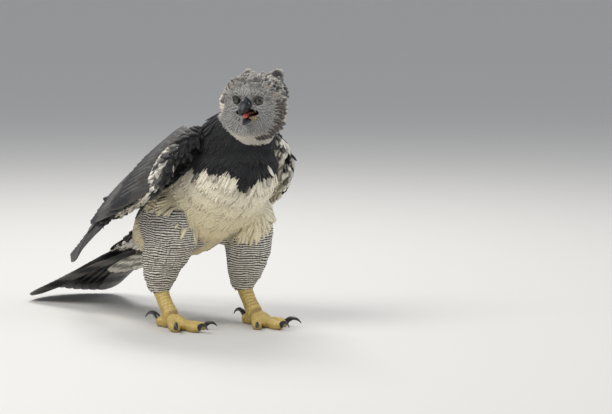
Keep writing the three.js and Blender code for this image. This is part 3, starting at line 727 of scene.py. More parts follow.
def head_colour(local, rough, fine):
    x, y, z = local.T
    grey = HEAD_GREY * (1 + 0.16 * rough[:, None])
    # cream towards the rim and the throat, with brown flecks on the rim
    rim = smooth(np.hypot(y / 56, (z + 6) / 68), 0.7, 0.98) * smooth(-x, -42, 0)
    cream = np.maximum(rim * smooth(fine, -0.8, 0.3), 0.85 * smooth(-z, 36, 58))
    grey = tinted(grey, HEAD_PALE, 0.85 * cream)
    flecks = smooth(-x, -14, 10) * smooth(fine, 0.15, 0.5) * smooth(z, -52, -30)
    grey = tinted(grey, HEAD_FLECK, 0.75 * flecks)
    crown = smooth(z, 30, 42) * smooth(fine + 0.4 * rough, -0.35, 0.2)
    grey = tinted(grey, HEAD_DARK, 0.8 * crown)
    # dark lores and a dark line through the eye
    lore = bell(np.abs(y), 15, 8) * bell(z, 12, 8) * (x > 20)
    line = bell(z, 15, 3) * smooth(np.abs(y), 30, 36) * (1 - smooth(np.abs(y), 44, 52))
    grey = tinted(grey, LORE, np.clip(0.85 * lore + 0.6 * line, 0, 1))
    # a golden streak beside the lower mandible
    q = np.stack([y, z], -1) - STREAK_START
    t = np.clip(q @ STREAK_WAY / (STREAK_WAY @ STREAK_WAY), 0, 1)
    off = np.linalg.norm(q - t[:, None] * STREAK_WAY, axis=1)
    streak = np.exp(-((off / STREAK_RADIUS) ** 2)) * (x > 15) * (y > 0)
    return tinted(grey, STREAK_GOLD, 0.9 * streak)


# Small feathers
def scatter(mesh, spacing, keep):
    """Points of the bird's frame, spread evenly over the mesh where keep allows, and their normals."""
    mesh.calc_loop_triangles()
    tri = np.zeros(len(mesh.loop_triangles) * 3, int)
    mesh.loop_triangles.foreach_get("vertices", tri)
    tri = tri.reshape(-1, 3)
    co = from_world(vertex_points(mesh))
    normal = vertex_normals(mesh)
    a, b, c = co[tri[:, 0]], co[tri[:, 1]], co[tri[:, 2]]
    middle = (a + b + c) / 3
    gap = spacing(middle)
    area = np.linalg.norm(np.cross(b - a, c - a), axis=1) / 2
    weight = np.where(keep(middle), area / gap**2, 0)
    # more points than can stay, so that thinning leaves no holes
    total = int(weight.sum() * 3.2)
    pick = draw.choice(len(tri), total, p=weight / weight.sum())
    r1, r2 = np.sqrt(draw.random(total)), draw.random(total)
    share = np.stack([1 - r1, r1 * (1 - r2), r1 * r2], -1)[..., None]
    points = (co[tri[pick]] * share).sum(1)
    normals = unit((normal[tri[pick]] * share).sum(1))
    chosen = thinned(points, gap[pick])
    return points[chosen], normals[chosen]


def thinned(points, gap):
    """Indices of points that keep their gap from those already chosen, in order."""
    keys = np.floor(points / float(gap.max())).astype(int)
    near = [(i, j, k) for i in (-1, 0, 1) for j in (-1, 0, 1) for k in (-1, 0, 1)]
    cells = {}
    chosen = []
    for n, (p, key, g) in enumerate(zip(points, map(tuple, keys), gap)):
        others = [m for d in near for m in cells.get((key[0] + d[0], key[1] + d[1], key[2] + d[2]), ())]
        if others and (((points[others] - p) ** 2).sum(1) < (g * 0.82) ** 2).any():
            continue
        cells.setdefault(key, []).append(n)
        chosen.append(n)
    return np.array(chosen)


def even(gap):
    """A spacing for scatter that is the same everywhere."""
    return lambda points: np.full(len(points), gap)


def coat(name, vanes, slot, material=plumage, edge=SLATE_EDGE):
    """Meshes of small closed vanes. Each runs from its point along its way, rises off the skin and bends
    back to it. vanes holds an array for each property, edge is the colour of the borders, and "pale",
    where given, is each vane's share of it."""
    vanes.setdefault("pale", np.zeros(len(vanes["points"])))
    order = np.argsort(vanes["points"][:, 0])
    parts = np.array_split(order, math.ceil(len(order) / COAT_LIMIT))
    for k, on in enumerate(parts):
        label = name if len(parts) == 1 else f"{name}_{k + 1}"
        vane_mesh(label, {key: rows[on] for key, rows in vanes.items()}, slot, material, edge)


def vane_faces(rows):
    """The corners of one vane's faces: quads between its rings of three, and triangles at both ends."""
    quads = []
    for r in range(rows - 1):
        for i in range(3):
            j = (i + 1) % 3
            quads.append([r * 3 + i, r * 3 + j, r * 3 + 3 + j, r * 3 + 3 + i])
    last = (rows - 1) * 3
    return quads, [[2, 1, 0]] + [[last + i, last + (i + 1) % 3, rows * 3] for i in range(3)]


def vane_points(vanes):
    """Each vane's rings from root to end, then its tip."""
    points, normals, width = vanes["points"], vanes["normals"], vanes["widths"][:, None]
    ways = unit(vanes["ways"] - (vanes["ways"] * normals).sum(1)[:, None] * normals)
    s = VANE_ROWS[None, :, None]
    length = vanes["lengths"][:, None, None]
    height = length * (vanes["rise"][:, None, None] * s - vanes["curl"][:, None, None] * s * s)
    spine = points[:, None] + ways[:, None] * length * s + normals[:, None] * height
    half = (width * VANE_WIDTHS[None] / 2)[..., None]
    thick = (width * 0.035 * (1 - 0.6 * VANE_ROWS[None]))[..., None] + 0.12
    up = normals[:, None]
    out = np.cross(normals, ways)[:, None] * half
    droop = up * (0.22 * half)
    ring = np.stack([spine - out - droop, spine + up * thick, spine + out - droop], 2)
    tip = spine[:, -1] + ways * (vanes["lengths"] * 0.05)[:, None]
    return np.concatenate([ring.reshape(len(points), -1, 3), tip[:, None]], 1)


def vane_mesh(name, vanes, slot, material, edge):
    verts = vane_points(vanes)
    n, per, _ = verts.shape
    rows = len(VANE_ROWS)
    quads, tris = vane_faces(rows)
    corners = np.array([v for face in quads + tris for v in face])
    corners = (corners[None] + np.arange(n)[:, None] * per).ravel()
    sizes = np.tile([4] * len(quads) + [3] * len(tris), n)
    starts = np.concatenate([[0], np.cumsum(sizes)[:-1]])
    mesh = bpy.data.meshes.new(name)
    mesh.vertices.add(n * per)
    mesh.vertices.foreach_set("co", to_world(verts.reshape(-1, 3)).astype(np.float32).ravel())
    mesh.loops.add(len(corners))
    mesh.loops.foreach_set("vertex_index", corners.astype(np.int32))
    mesh.polygons.add(len(sizes))
    mesh.polygons.foreach_set("loop_start", starts.astype(np.int32))
    mesh.polygons.foreach_set("loop_total", sizes.astype(np.int32))
    mesh.update(calc_edges=True)
    mesh.shade_smooth()
    # painted shade: darker at the root and lighter towards the tip; and of the edge's colour round the border
    place = np.concatenate([np.repeat(VANE_ROWS, 3), [1.0]])
    off_shaft = np.concatenate([np.tile([1, 0, 1], rows), [0.6]])
    shade = vanes["colours"][:, None] * (0.8 + 0.24 * place[None, :, None])
    border = np.maximum(smooth(place, 0.78, 0.98), off_shaft * smooth(place, 0.5, 0.9) * 0.7)
    shade = lerp(shade, edge, (vanes["pale"][:, None] * border[None])[..., None])
    paint(mesh, shade.reshape(-1, 3))
    # the vane's own map, in metres across and along, and a small patch at its root's place for baking
    side = np.concatenate([np.tile([-1, 0, 1], rows), [0]])[None]
    across = side * vanes["widths"][:, None] * MM / 2
    down = place[None] * vanes["lengths"][:, None] * MM + draw.random(n)[:, None] * 7
    bake_across = vanes["uv"][:, :1] * (1 - PATCH) + (side + 1) / 2 * PATCH
    bake_down = vanes["uv"][:, 1:] * (1 - PATCH) + place[None] * PATCH
    bake = np.stack([bake_across.ravel(), bake_down.ravel()], -1)
    add_maps(mesh, (("OFBake", bake), ("Vane", np.stack([across.ravel(), down.ravel()], -1))), corners)
    add_object(name, mesh, material, slot=slot)


def spine_map(points):
    """The body unwrapped: turn round the spine, and place along it."""
    share, depth = spine_place(points)
    turn = np.arctan2(points[:, 0], np.where(np.abs(depth) < 1e-6, 1e-6, depth))
    return np.stack([turn / (2 * np.pi) + 0.5, share], -1)


def head_map(points):
    local = bird_to_head(points)
    polar = np.arccos(np.clip(unit(local)[:, 0], -1, 1))
    turn = np.arctan2(local[:, 2], local[:, 1])
    return np.stack([turn / (2 * np.pi) + 0.5, polar / np.pi], -1)


def body_coat(skin):
    """The neck, breast, belly, back and thighs."""

    def is_body(p):
        return head_zone(p) < 0.5

    points, normals = scatter(skin, lambda p: 3.7 + 2.6 * back_share(p), is_body)
    on = is_body(points)
    points, normals = points[on], normals[on]
    n = len(points)
    share = spine_place(points)[0]
    back = -unit(along(SPINE, share + 0.03) - along(SPINE, share - 0.03))
    leg = leg_share(points)
    ways = tinted(np.stack([np.zeros(n), back[:, 0], back[:, 1]], -1), np.array([0, 0.25, -1.0]), leg)
    ways[:, 0] += 0.25 * np.sign(points[:, 0]) * smooth(-points[:, 1], 60, 120) * (1 - leg)
    # neighbouring feathers part into soft locks
    locks = np.stack([value_noise(points, 26, seed) for seed in (31, 32, 33)], -1)
    ways = ways + 0.13 * locks + draw.normal(0, 0.06, (n, 3))
    colours = skin_colour(points)
    dark = 1 - smooth(colours.mean(1), 0.04, 0.1)
    colours = colours * draw.uniform(lerp(0.94, 0.86, dark), lerp(1.04, 1.12, dark))[:, None]
    over = back_share(points)
    lengths = lerp(lerp(31.0, 18.0, dark), 30.0, over) * (1 - 0.5 * leg) * draw.uniform(0.8, 1.15, n)
    widths = lerp(lerp(11.5, 8.0, dark), 17.0, over) * (1 - 0.25 * leg) * draw.uniform(0.8, 1.15, n)
    rise = draw.uniform(0.03, lerp(0.055, 0.1, dark), n) + 0.04 * leg
    curl = draw.uniform(0.01, lerp(0.04, 0.1, dark), n)
    pale = dark * over * draw.uniform(0.3, 1.0, n)
    thigh = leg > 0.45
    colours[thigh] = WHITE * draw.uniform(0.82, 1.05, (thigh.sum(), 1))
    # one white feather stands out of the dark band
    stray = np.linalg.norm(points - np.array(STRAY_FEATHER), axis=1).argmin()
    colours[stray], lengths[stray], widths[stray], rise[stray] = WHITE, 26, 10, 0.2
    vanes = {
        "points": points, "normals": normals, "ways": ways, "lengths": lengths, "widths": widths,
        "rise": rise, "curl": curl, "colours": colours, "pale": pale, "uv": spine_map(points),
    }
    coat("plumage_body", {key: rows[~thigh] for key, rows in vanes.items()}, "white_feather")
    barred = {key: rows[thigh] for key, rows in vanes.items()}
    coat("plumage_thighs", barred, "barred_feather", barred_plumage)


def off_openings(points):
    """Whether each point is on the head, clear of the eyes, the bill and the mouth."""
    local = bird_to_head(points)
    clear = head_zone(points) >= 0.5
    for side in (1, -1):
        gaze, aside, above = eye_axes(side)
        q = local - eye_centre(side)
        opening = (q @ aside / EYE_OPENING[0]) ** 2 + ((q @ above + 0.8) / EYE_OPENING[1]) ** 2 < 1
        clear &= ~(opening & (q @ gaze > 0))
    bill = (local[:, 0] > 28) & (np.abs(local[:, 1]) < 12) & (local[:, 2] > -30) & (local[:, 2] < 20)
    q = (local - MOUTH_CENTRE) / (MOUTH_SIZE * 1.12)
    return clear & ~bill & ((q**2).sum(1) > 1)


def head_coat(skin):
    """Short feathers on the face, longer on the crown and shorter again where the neck begins."""

    def spacing(p):
        return lerp(2.9, 4.6, smooth(-bird_to_head(p)[:, 0], -30, 20))

    points, normals = scatter(skin, spacing, off_openings)
    n = len(points)
    local = bird_to_head(points)
    radial = np.stack([np.full(n, -0.35), local[:, 1] / 45, (local[:, 2] + 2) / 50], -1)
    radial[:, 0] -= 1.3 * smooth(-local[:, 0], -25, 15)
    radial[:, 2] -= 0.9 * smooth(-local[:, 2], 0, 40)
    ways = (radial + draw.normal(0, 0.1, (n, 3))) @ HEAD[:3, :3].T
    face = smooth(local[:, 0], 5, 34)
    crown = smooth(local[:, 2], 30, 48)
    chin = smooth(-local[:, 2], 36, 60)
    lengths = (lerp(17.0, 7.5, face) + 3.0 * crown) * (1 - 0.5 * chin) * draw.uniform(0.85, 1.15, n)
    widths = lerp(9.5, 4.6, face) * draw.uniform(0.85, 1.15, n)
    rise = draw.uniform(0.1, 0.2, n) * (1 - 0.5 * chin) + 0.16 * crown
    inland = 1 - smooth(off_head(points), 58, 68) * (1 - crown)
    curl = draw.uniform(0.0, 0.1, n) - 0.05 * crown
    colours = skin_colour(points) * draw.uniform(0.84, 1.14, (n, 1))
    pale = draw.uniform(0.05, 0.5, n) * (1 - face)
    vanes = {
        "points": points, "normals": normals, "ways": ways, "lengths": lengths * (0.5 + 0.5 * inland),
        "widths": widths, "rise": rise * (0.3 + 0.7 * inland), "curl": curl, "colours": colours,
        "pale": pale, "uv": head_map(points),
    }
    coat("plumage_head", vanes, "grey_feather", edge=HEAD_PALE)


# Long vanes: flight, tail, crest and disc feathers
def vane_of(place, width, length, point, rows, tone):
    """place(s, across) gives points and normals and tone(s, side) gives colours, at s from root to tip.
    point is where the vane starts to close."""
    return {"place": place, "width": width, "length": length, "point": point, "rows": rows, "tone": tone}


def long_vane(vane, k, side):
    """One closed vane: its points, faces, colours and own map. Its edges taper and are a little ragged."""
    s = np.linspace(0, 1, vane["rows"])
    full = np.minimum(1, 0.4 + 1.8 * s)
    close = np.sqrt(np.clip(1 - np.clip((s - vane["point"]) / (1 - vane["point"]), 0, 1) ** 2.3, 0, 1))
    half = vane["width"] / 2 * np.maximum(full * close, 0.03)
    ragged = 1 - 0.05 * np.abs(np.sin(s * vane["length"] / 5.5 + k))
    down, across = (grid.ravel() for grid in np.meshgrid(s, side, indexing="ij"))
    off = across * np.repeat(half * ragged, len(side))
    at, out = vane["place"](down, off)
    camber = 0.03 * vane["width"] * (1 - across**2)
    # thicker along the shaft
    thick = 0.55 * (1 - 0.55 * down) * (1 - 0.55 * np.abs(across)) + 0.55 * (np.abs(across) < 0.05)
    points = np.concatenate([at + out * (camber + thick)[:, None], at + out * (camber - thick)[:, None]])
    count = len(down)
    grid = np.arange(count).reshape(len(s), len(side))
    upper = np.stack([grid[:-1, :-1], grid[:-1, 1:], grid[1:, 1:], grid[1:, :-1]], -1).reshape(-1, 4)
    rim = np.concatenate([grid[0], grid[1:, -1], grid[-1, -2::-1], grid[-2:0:-1, 0]])
    after = np.roll(rim, -1)
    wall = np.stack([after, rim, rim + count, after + count], -1)
    faces = np.concatenate([upper, upper[:, ::-1] + count, wall])
    own = np.stack([off * MM, down * vane["length"] * MM + k * 1.37], -1)
    return points, faces, np.tile(vane["tone"](down, across), (2, 1)), np.tile(own, (2, 1))


def bake_cell(k, cells, rows, side):
    """One vane's cell of the bake map: its upper face in the map's lower half, its lower face above."""
    down, across = (grid.ravel() for grid in np.meshgrid(np.linspace(0, 1, rows), side, indexing="ij"))
    u = (k % cells + 0.1 + 0.8 * (across + 1) / 2) / cells
    v = (k // cells + 0.05 + 0.9 * down) * CELL_SHAPE / cells * 0.5
    return np.concatenate([np.stack([u, np.clip(v + face, 0, 1)], -1) for face in (0.0, 0.5)])


def long_vanes(name, vanes, slot, nodes=(), material=flight_plumage):
    """One mesh of long closed vanes."""
    side = np.linspace(-1, 1, LONG_COLUMNS)
    cells = math.ceil(math.sqrt(len(vanes) * CELL_SHAPE))
    made = [long_vane(vane, k, side) for k, vane in enumerate(vanes)]
    bake = [bake_cell(k, cells, vane["rows"], side) for k, vane in enumerate(vanes)]
    points, faces, colours, own = zip(*made)
    starts = np.cumsum([0] + [len(rows) for rows in points[:-1]])
    faces = np.concatenate([corners + start for corners, start in zip(faces, starts)])
    mesh = bpy.data.meshes.new(name)
    mesh.from_pydata(to_world(np.concatenate(points)).tolist(), [], faces.tolist())
    mesh.update()
    mesh.shade_smooth()
    paint(mesh, np.concatenate(colours))
    add_maps(mesh, (("OFBake", np.concatenate(bake)), ("Vane", np.concatenate(own))), faces.ravel())
    form = bmesh.new()
    form.from_mesh(mesh)
    bmesh.ops.recalc_face_normals(form, faces=form.faces)
    form.to_mesh(mesh)
    form.free()
    add_object(name, mesh, material, nodes, slot)


def barred_tone(base, bar, count, tip, seed, phase=0.0):
    """Colours along a vane: broad soft bars, a pale tip and a dark shaft."""
    jitter = np.random.default_rng(seed).uniform(-0.12, 0.12)

    def tone(s, side):
        wobble = 0.05 * np.sin(7 * side + seed)
        wave = np.sin(2 * np.pi * (s * count + phase + jitter + wobble))
        colour = tinted(base, bar, smooth(wave, -0.25, 0.25))
        colour = colour * (1 - 0.25 * (np.abs(side) < 0.05))[:, None]
        colour = tinted(colour, tip, 0.8 * smooth(s, 0.965, 0.995))
        return tinted(colour, tip, 0.4 * (smooth(np.abs(side), 0.8, 1.0) * smooth(s, 0.2, 0.6)))

    return tone


# Wings
def wing_surface(held, u, v):
    """Points and outward normals of the folded wing; u runs from wrist to tip, v from lower to upper edge."""
    side, lower, upper = held

    def on(uu, vv):
        flat = lerp(along(lower + WING_TIP[:1], uu), along(upper + WING_TIP[1:], uu), vv[:, None])
        lift = WING_BULGE * np.sin(np.pi * vv) * (1 - 0.7 * uu)
        return flat + np.array([0.9, -0.1, 0.4]) * lift[:, None]

    out = unit(np.cross(on(u + 0.01, v) - on(u - 0.01, v), on(u, v + 0.01) - on(u, v - 0.01)))
    out = np.where(out[:, :1] < 0, -out, out)
    mirror = np.array([side, 1, 1])
    return on(u, v) * mirror, out * mirror


def wing_vane(held, root, tip, width, heights, tilt, point, rows, tone):
    """A vane over the wing's surface, from root to tip as u and v, its height going from root to tip."""
    (u0, v0), (u1, v1) = root, tip

    def place(s, across):
        u, v = lerp(u0, u1, s), lerp(v0, v1, s)
        here, _ = wing_surface(held, u, v)
        near, _ = wing_surface(held, u, v + 0.01)
        span = np.linalg.norm(near - here, axis=1) / 0.01
        at, out = wing_surface(held, u, v + across / span)
        height = lerp(*heights, smooth(s, 0.05, 0.4)) + tilt * across
        return at + out * height[:, None], out

    return vane_of(place, width, WING_LENGTH * abs(u1 - u0), point, rows, tone)


# The tiers of a wing. root and tip are the ends of the lowest vane, as u and v, and the highest vane adds
# root_add and tip_add. stray is how far a tip may lie off its place, high the height of root and tip over
# the wing's surface, and step what each vane adds to it. width is that of the lowest vane and what the
# highest adds, shares the parts of WING_DARK and WING_GREY, and end the colour of the tip.
WING_TIERS = [
    dict(
        count=8, root=(0.27, 0.2), root_add=(0, 0.2), tip=(1.0, 0.14), tip_add=(-0.16, 0.36), stray=0,
        width=(46, 6), high=(-3, -13), step=(0.4, 1.15), tilt=0, point=0.7, rows=34,
        shares=(1, 0.8), bars=5, end=SLATE_EDGE, seed=20,
    ),
    dict(
        count=11, root=(0.34, 0.3), root_add=(0, 0.6), tip=(0.75, 0.42), tip_add=(-0.1, 0.46), stray=0.008,
        width=(56, 0), high=(0, -4), step=(0.3, 1), tilt=0, point=0.72, rows=34,
        shares=(1, 1), bars=4, end=np.array([0.2, 0.19, 0.175]), seed=40,
    ),
    dict(
        count=13, root=(0.3, 0.1), root_add=(0, 0.78), tip=(0.56, 0.14), tip_add=(-0.03, 0.75), stray=0.008,
        width=(36, 0), high=(4, 9), step=(0, 0), tilt=0.12, point=0.6, rows=22,
        shares=(0.8, 0.8), bars=2, end=np.array([0.17, 0.16, 0.15]), seed=60,
    ),
    dict(
        count=15, root=(0.22, 0.1), root_add=(0, 0.78), tip=(0.43, 0.12), tip_add=(0, 0.77), stray=0.01,
        width=(31, 0), high=(8, 14), step=(0, 0), tilt=0.12, point=0.5, rows=16,
        shares=(0.7, 0.6), bars=1, end=np.array([0.15, 0.14, 0.13]), seed=80,
    ),
]


def tier_vanes(held, tier):
    dark, grey = (tone * share for tone, share in zip((WING_DARK, WING_GREY), tier["shares"]))
    vanes = []
    for i in range(tier["count"]):
        f = i / (tier["count"] - 1)
        root = [at + add * f for at, add in zip(tier["root"], tier["root_add"])]
        tip = [at + add * f for at, add in zip(tier["tip"], tier["tip_add"])]
        if tier["stray"]:
            tip[0] += draw.uniform(-tier["stray"], tier["stray"])
        heights = [high + step * i for high, step in zip(tier["high"], tier["step"])]
        width = tier["width"][0] + tier["width"][1] * f
        tone = barred_tone(dark, grey, tier["bars"], tier["end"], tier["seed"] + i)
        vanes.append(
            wing_vane(held, root, tip, width, heights, tier["tilt"], tier["point"], tier["rows"], tone)
        )
    return vanes


def wing_arm(held, label):
    """The arm under the small coverts, a pillow between an outer and an inner face."""

    def shape(polar, turn):
        # the disc of the sphere, seen along its axis and stretched to a square, becomes the arm's outline
        stretch = 1 / np.maximum(np.maximum(np.abs(np.cos(turn)), np.abs(np.sin(turn))), 0.3)
        disc = sphere_point(polar, turn)[:, :2] * 0.5 * lerp(1, stretch, 0.8)[:, None]
        a, b = np.clip(0.5 + disc, 0, 1).T
        fat = np.abs(np.cos(polar)) ** 0.7 * np.sqrt(np.clip(np.sin(np.pi * np.clip(a**0.62, 0, 1)), 0, 1))
        shoulder = smooth(b, 0.4, 0.85) * (1 - smooth(a, 0.55, 0.95))
        inward = 12 + 6 * smooth(b, 0.5, 0.9) + 24 * shoulder
        at, out = wing_surface(held, a * ARM_SHARE, b)
        return at + out * (np.where(polar < np.pi / 2, 11.5, -inward) * fat)[:, None]

    mesh = shaped_sphere(f"wing_arm_{label}", 96, 64, shape)
    paint(mesh, arm_colour(from_world(vertex_points(mesh)), vertex_normals(mesh), held[0]))
    add_object(f"wing_arm_{label}", mesh, skin_material, slot="slate_feather")
    return mesh


def arm_colour(points, normals, side):
    """Slate outside, white with dark scallops on the lining and along the front edge."""
    rough, fine = value_noise(points, 15, 8), value_noise(points, 5, 9)
    facing = -normals[:, 0] * side - 0.35 * normals[:, 1] + 0.15 * rough
    inner = smooth(facing, -0.1, 0.18)
    if side < 0:
        # painted shade: the right wing's lining lies in shade, so it is painted darker, slate, with white
        # only towards the front
        inner = smooth(facing, 0.42, 0.62) * (1 - smooth(points[:, 1], 0, 40))
    # the edge along the back is dark, as the outside is
    inner = inner * (1 - smooth(points[:, 2] + 0.55 * points[:, 1], 312, 322))
    lining = WHITE * (1 + 0.1 * rough[:, None])
    scallops = smooth(fine + 0.5 * smooth(-points[:, 1], 60, 100), 0.4, 0.6)
    lining = tinted(lining, BAR_BLACK, 0.9 * scallops)
    lining = tinted(lining, CREAM * 0.9, 0.5 * smooth(-points[:, 2], -300, -230))
    return lerp(SLATE * (1 + 0.6 * fine[:, None]), lining, inner[:, None])


def arm_coat(arm, side, label):
    points, normals = scatter(arm, even(6.4), lambda p: p[:, 1] < ARM_COAT_END)
    n = len(points)
    ways = np.array([0, 0.86, -0.5]) + draw.normal(0, 0.12, (n, 3))
    ways = ways + np.array([0, 0.2, -0.5]) * smooth(-points[:, 1], 60, 110)[:, None]
    colours = arm_colour(points, normals, side) * draw.uniform(0.85, 1.15, (n, 1))
    dark = 1 - smooth(colours.mean(1), 0.05, 0.12)
    far = smooth(points[:, 1], -60, 60)
    # the map is the side view, once for the outer and once for the inner face
    u = np.clip((points[:, 1] + 130) / 280, 0, 1) * 0.49 + (normals[:, 0] * side < 0) * 0.5
    v = np.clip((points[:, 2] - 180) / 230, 0, 1)
    vanes = {
        "points": points, "normals": normals, "ways": ways, "colours": colours, "uv": np.stack([u, v], -1),
        "lengths": lerp(19.0, 27.0, far) * draw.uniform(0.85, 1.15, n),
        "widths": lerp(11.0, 15.0, far) * draw.uniform(0.9, 1.1, n),
        "rise": draw.uniform(0.1, 0.18, n),
        "curl": draw.uniform(0.04, 0.12, n),
        "pale": dark * draw.uniform(0.25, 1.0, n),
    }
    coat(f"coverts_{label}", vanes, "slate_feather")


def make_wing(label):
    held = WINGS[label]
    vanes = [vane for tier in WING_TIERS for vane in tier_vanes(held, tier)]
    long_vanes(f"flight_feathers_{label}", vanes, "slate_feather", [f"wing_{label}"])
    arm_coat(wing_arm(held, label), held[0], label)


# Tail
def make_tail():
    slope = math.radians(TAIL_SLOPE)
    back = np.array([0, math.cos(slope), -math.sin(slope)])
    up = np.array([0, math.sin(slope), math.cos(slope)])
    vanes = []

    def tail_vane(angle, length, width, high, point, tone, rows=40):
        turn = math.radians(angle)
        way = np.array([math.sin(turn), 0, 0]) + back * math.cos(turn)
        across_way = unit(np.cross(way, up))

        def place(s, across):
            height = high - 10 * s * s
            at = TAIL_ROOT + way * lerp(30, length, s)[:, None] + across_way * across[:, None]
            return at + up * height[:, None], np.broadcast_to(up, at.shape)

        vanes.append(vane_of(place, width, length, point, rows, tone))

    for i in range(6):
        for side in (-1, 1):
            high = 4 - 1.9 * (2 * i + (side > 0))
            tone = barred_tone(TAIL_GREY, BAR_BLACK, 3.6, TAIL_TIP, 100 + i, 0.42)
            tail_vane(side * (1.2 + 2.5 * i), TAIL_LENGTH - 0.875 * i * i, 52, high, 0.84, tone)
    for i in range(9):
        f = (i - 4) * 0.75
        step = (i % 2) * 1.6
        above = barred_tone(SLATE, SLATE, 1, TAIL_COVERT_TIP, 120 + i)
        below = barred_tone(WHITE, WHITE * 0.3, 3, WHITE, 140 + i)
        tail_vane(f * 5.5, 128 - 4 * abs(f), 32, 12 + step, 0.45, above, 18)
        tail_vane(f * 5.5, 152 - 6 * abs(f), 34, -26 - step, 0.45, below, 18)
    long_vanes("tail_feathers", vanes, "slate_feather", ["tail"])

    rows = [[0, 150, 162, 37, 24], [0, 200, 148, 36, 18], [0, 250, 130, 28, 10], [0, 290, 116, 18, 4]]
    mesh = shaped_sphere("tail_root", 32, 24, swept(rows, limb_shape(upright=False)))
    paint(mesh, tinted(WHITE * 0.9, SLATE, smooth(vertex_normals(mesh)[:, 2], -0.1, 0.1)))
    add_object("tail_root", mesh, skin_material, slot="slate_feather")
    points, normals = scatter(mesh, even(7.0), lambda p: p[:, 1] > 150)
    n = len(points)
    above = normals[:, 2] > 0
    turn = np.arctan2(points[:, 0], points[:, 2] - 140)
    vanes = {
        "points": points,
        "normals": normals,
        "ways": back + draw.normal(0, 0.1, (n, 3)),
        "colours": np.where(above[:, None], SLATE, WHITE) * draw.uniform(0.85, 1.1, (n, 1)),
        "uv": np.clip(np.stack([turn / 6.4 + 0.5, (points[:, 1] - 140) / 180], -1), 0, 1),
        "lengths": draw.uniform(24, 32, n),
        "widths": draw.uniform(12, 15, n),
        "rise": draw.uniform(0.08, 0.16, n),
        "curl": draw.uniform(0.02, 0.08, n),
        "pale": above * 0.7,
    }
    coat("tail_coverts", vanes, "slate_feather")


# Crown, crest and disc
def on_skull(a, b):
    """A point of the head's form, sunk a little so that roots are covered."""
    at = head_point(np.array([a]), np.array([b]))[0]
    return at - unit(at) * 4


def head_vane(a, b, length, width, lift, curl, tone, rows=10, twist=0.0):
    """A vane rooted at polar angle a and turn b, lying back from the bill; twist turns it to one side."""
    start = on_skull(a, b)
    out, back = unit(start), unit(on_skull(a + 0.08, b) - start)
    aside = np.cross(out, back)
    way = back * math.cos(twist) + aside * math.sin(twist)
    across_way = aside * math.cos(twist) - back * math.sin(twist)

    def place(s, across):
        high = length * (lift * s + curl * s * s) + 0.12 * across
        at = start + way * (length * s)[:, None] + across_way * across[:, None] + out * high[:, None]
        return head_to_bird(at), np.broadcast_to(out @ HEAD[:3, :3].T, at.shape)

    return vane_of(place, width, length, 0.45, rows, tone)


def edged_tone(base, tip, seed):
    """Colours of a vane with a border in the colour of its tip."""
    tone_base = base * np.random.default_rng(seed).uniform(0.8, 1.2)

    def tone(s, side):
        colour = tinted(tone_base, tip, smooth(s, 0.72, 0.98) * 0.8)
        return tinted(colour, tip, 0.55 * smooth(np.abs(side), 0.6, 1.0))

    return tone


def disc_vanes():
    """Four rows round the face; the outer two leave the throat free."""
    count = 30
    for row in range(4):
        for i in range(count):
            turn = lerp(0.25, -math.pi - 0.25, (i + 0.5 * (row % 2)) / (count - 0.5))
            turn += draw.uniform(-0.03, 0.03)
            if row > 1 and math.sin(turn) < -0.45:
                continue
            # painted shadow: the inner two rows on the left side and under the chin take a dark tone for the
            # shadow in the groove under the rim
            if row < 2 and math.cos(turn) > -0.3:
                tone = edged_tone(RIM_SHADOW, HEAD_GREY, 300 + row * 40 + i)
            else:
                tone = edged_tone(HEAD_PALE, RIM_TIP, 300 + row * 40 + i)
            chin = float(bell(abs(turn + math.pi / 2), 0, 0.6))
            length = (20 + draw.uniform(-4, 3)) * (1 - 0.5 * chin)
            lift = (0.16 + 0.03 * row) * (1 - 0.6 * chin)
            polar = 1.02 + (0.13 - 0.05 * chin) * row
            yield head_vane(polar, turn, length, 9.5 + 1.2 * row, lift, -0.08, tone)


def crown_vanes():
    """Eight ruffled rows, paler at the forehead."""
    for row in range(8):
        count = 13 + row
        for i in range(count):
            turn = lerp(0.3, math.pi - 0.3, i / (count - 1)) + draw.uniform(-0.09, 0.09)
            polar = 0.8 + 0.115 * row + draw.uniform(-0.06, 0.06)
            base = lerp(CROWN_FRONT, HEAD_DARK, min(row / 3, 1)) if draw.random() < 0.9 else CROWN_BROWN
            tone = edged_tone(base, CROWN_TIP, 500 + row * 40 + i)
            length = (12 + 1.7 * row) * draw.uniform(0.7, 1.2)
            lift, curl = draw.uniform(0.0, 0.12), draw.uniform(0.1, 0.5) * math.sin(turn)
            twist = draw.uniform(-0.75, 0.75) * math.sin(turn)
            yield head_vane(polar, turn, length, draw.uniform(7, 12), lift, curl, tone, 12, twist)


def crest_vanes():
    """The long crest, with one horn that stands up."""
    for i in range(15):
        f = i / 14
        horn_share = float(bell(abs(f - 0.5), 0.28, 0.07))
        tone = edged_tone(CREST_BASE, CREST_TIP, 800 + i)
        turn = lerp(0.7, math.pi - 0.7, f)
        lift, curl = 0.02 + 0.42 * horn_share, 0.3 * horn_share
        yield head_vane(
            1.66 + 0.08 * (i % 2), turn, 46 - 14 * horn_share, 17 + 9 * horn_share, lift, curl, tone, 16
        )


# Legs and feet
def limb_shape(upright):
    def shape(row, before, after, ring, turn):
        ahead = unit(after[:, :3] - before[:, :3])
        if upright:
            across = unit(np.array([1.0, 0, 0]) - ahead[:, :1] * ahead)
        else:
            across = unit(np.cross(np.array([0, 0, 1.0]), ahead))
        wide = (np.cos(turn) * row[:, 3] * ring)[:, None]
        tall = (np.sin(turn) * row[:, 4] * ring)[:, None]
        return row[:, :3] + across * wide + np.cross(ahead, across) * tall

    return shape


def toe_way(leg, toe):
    """Where the leg stands, and the way that its toe points."""
    side, x, y = leg
    turn = math.radians(-90 + side * toe[0])
    return np.array([x, y]), np.array([math.cos(turn), math.sin(turn)])


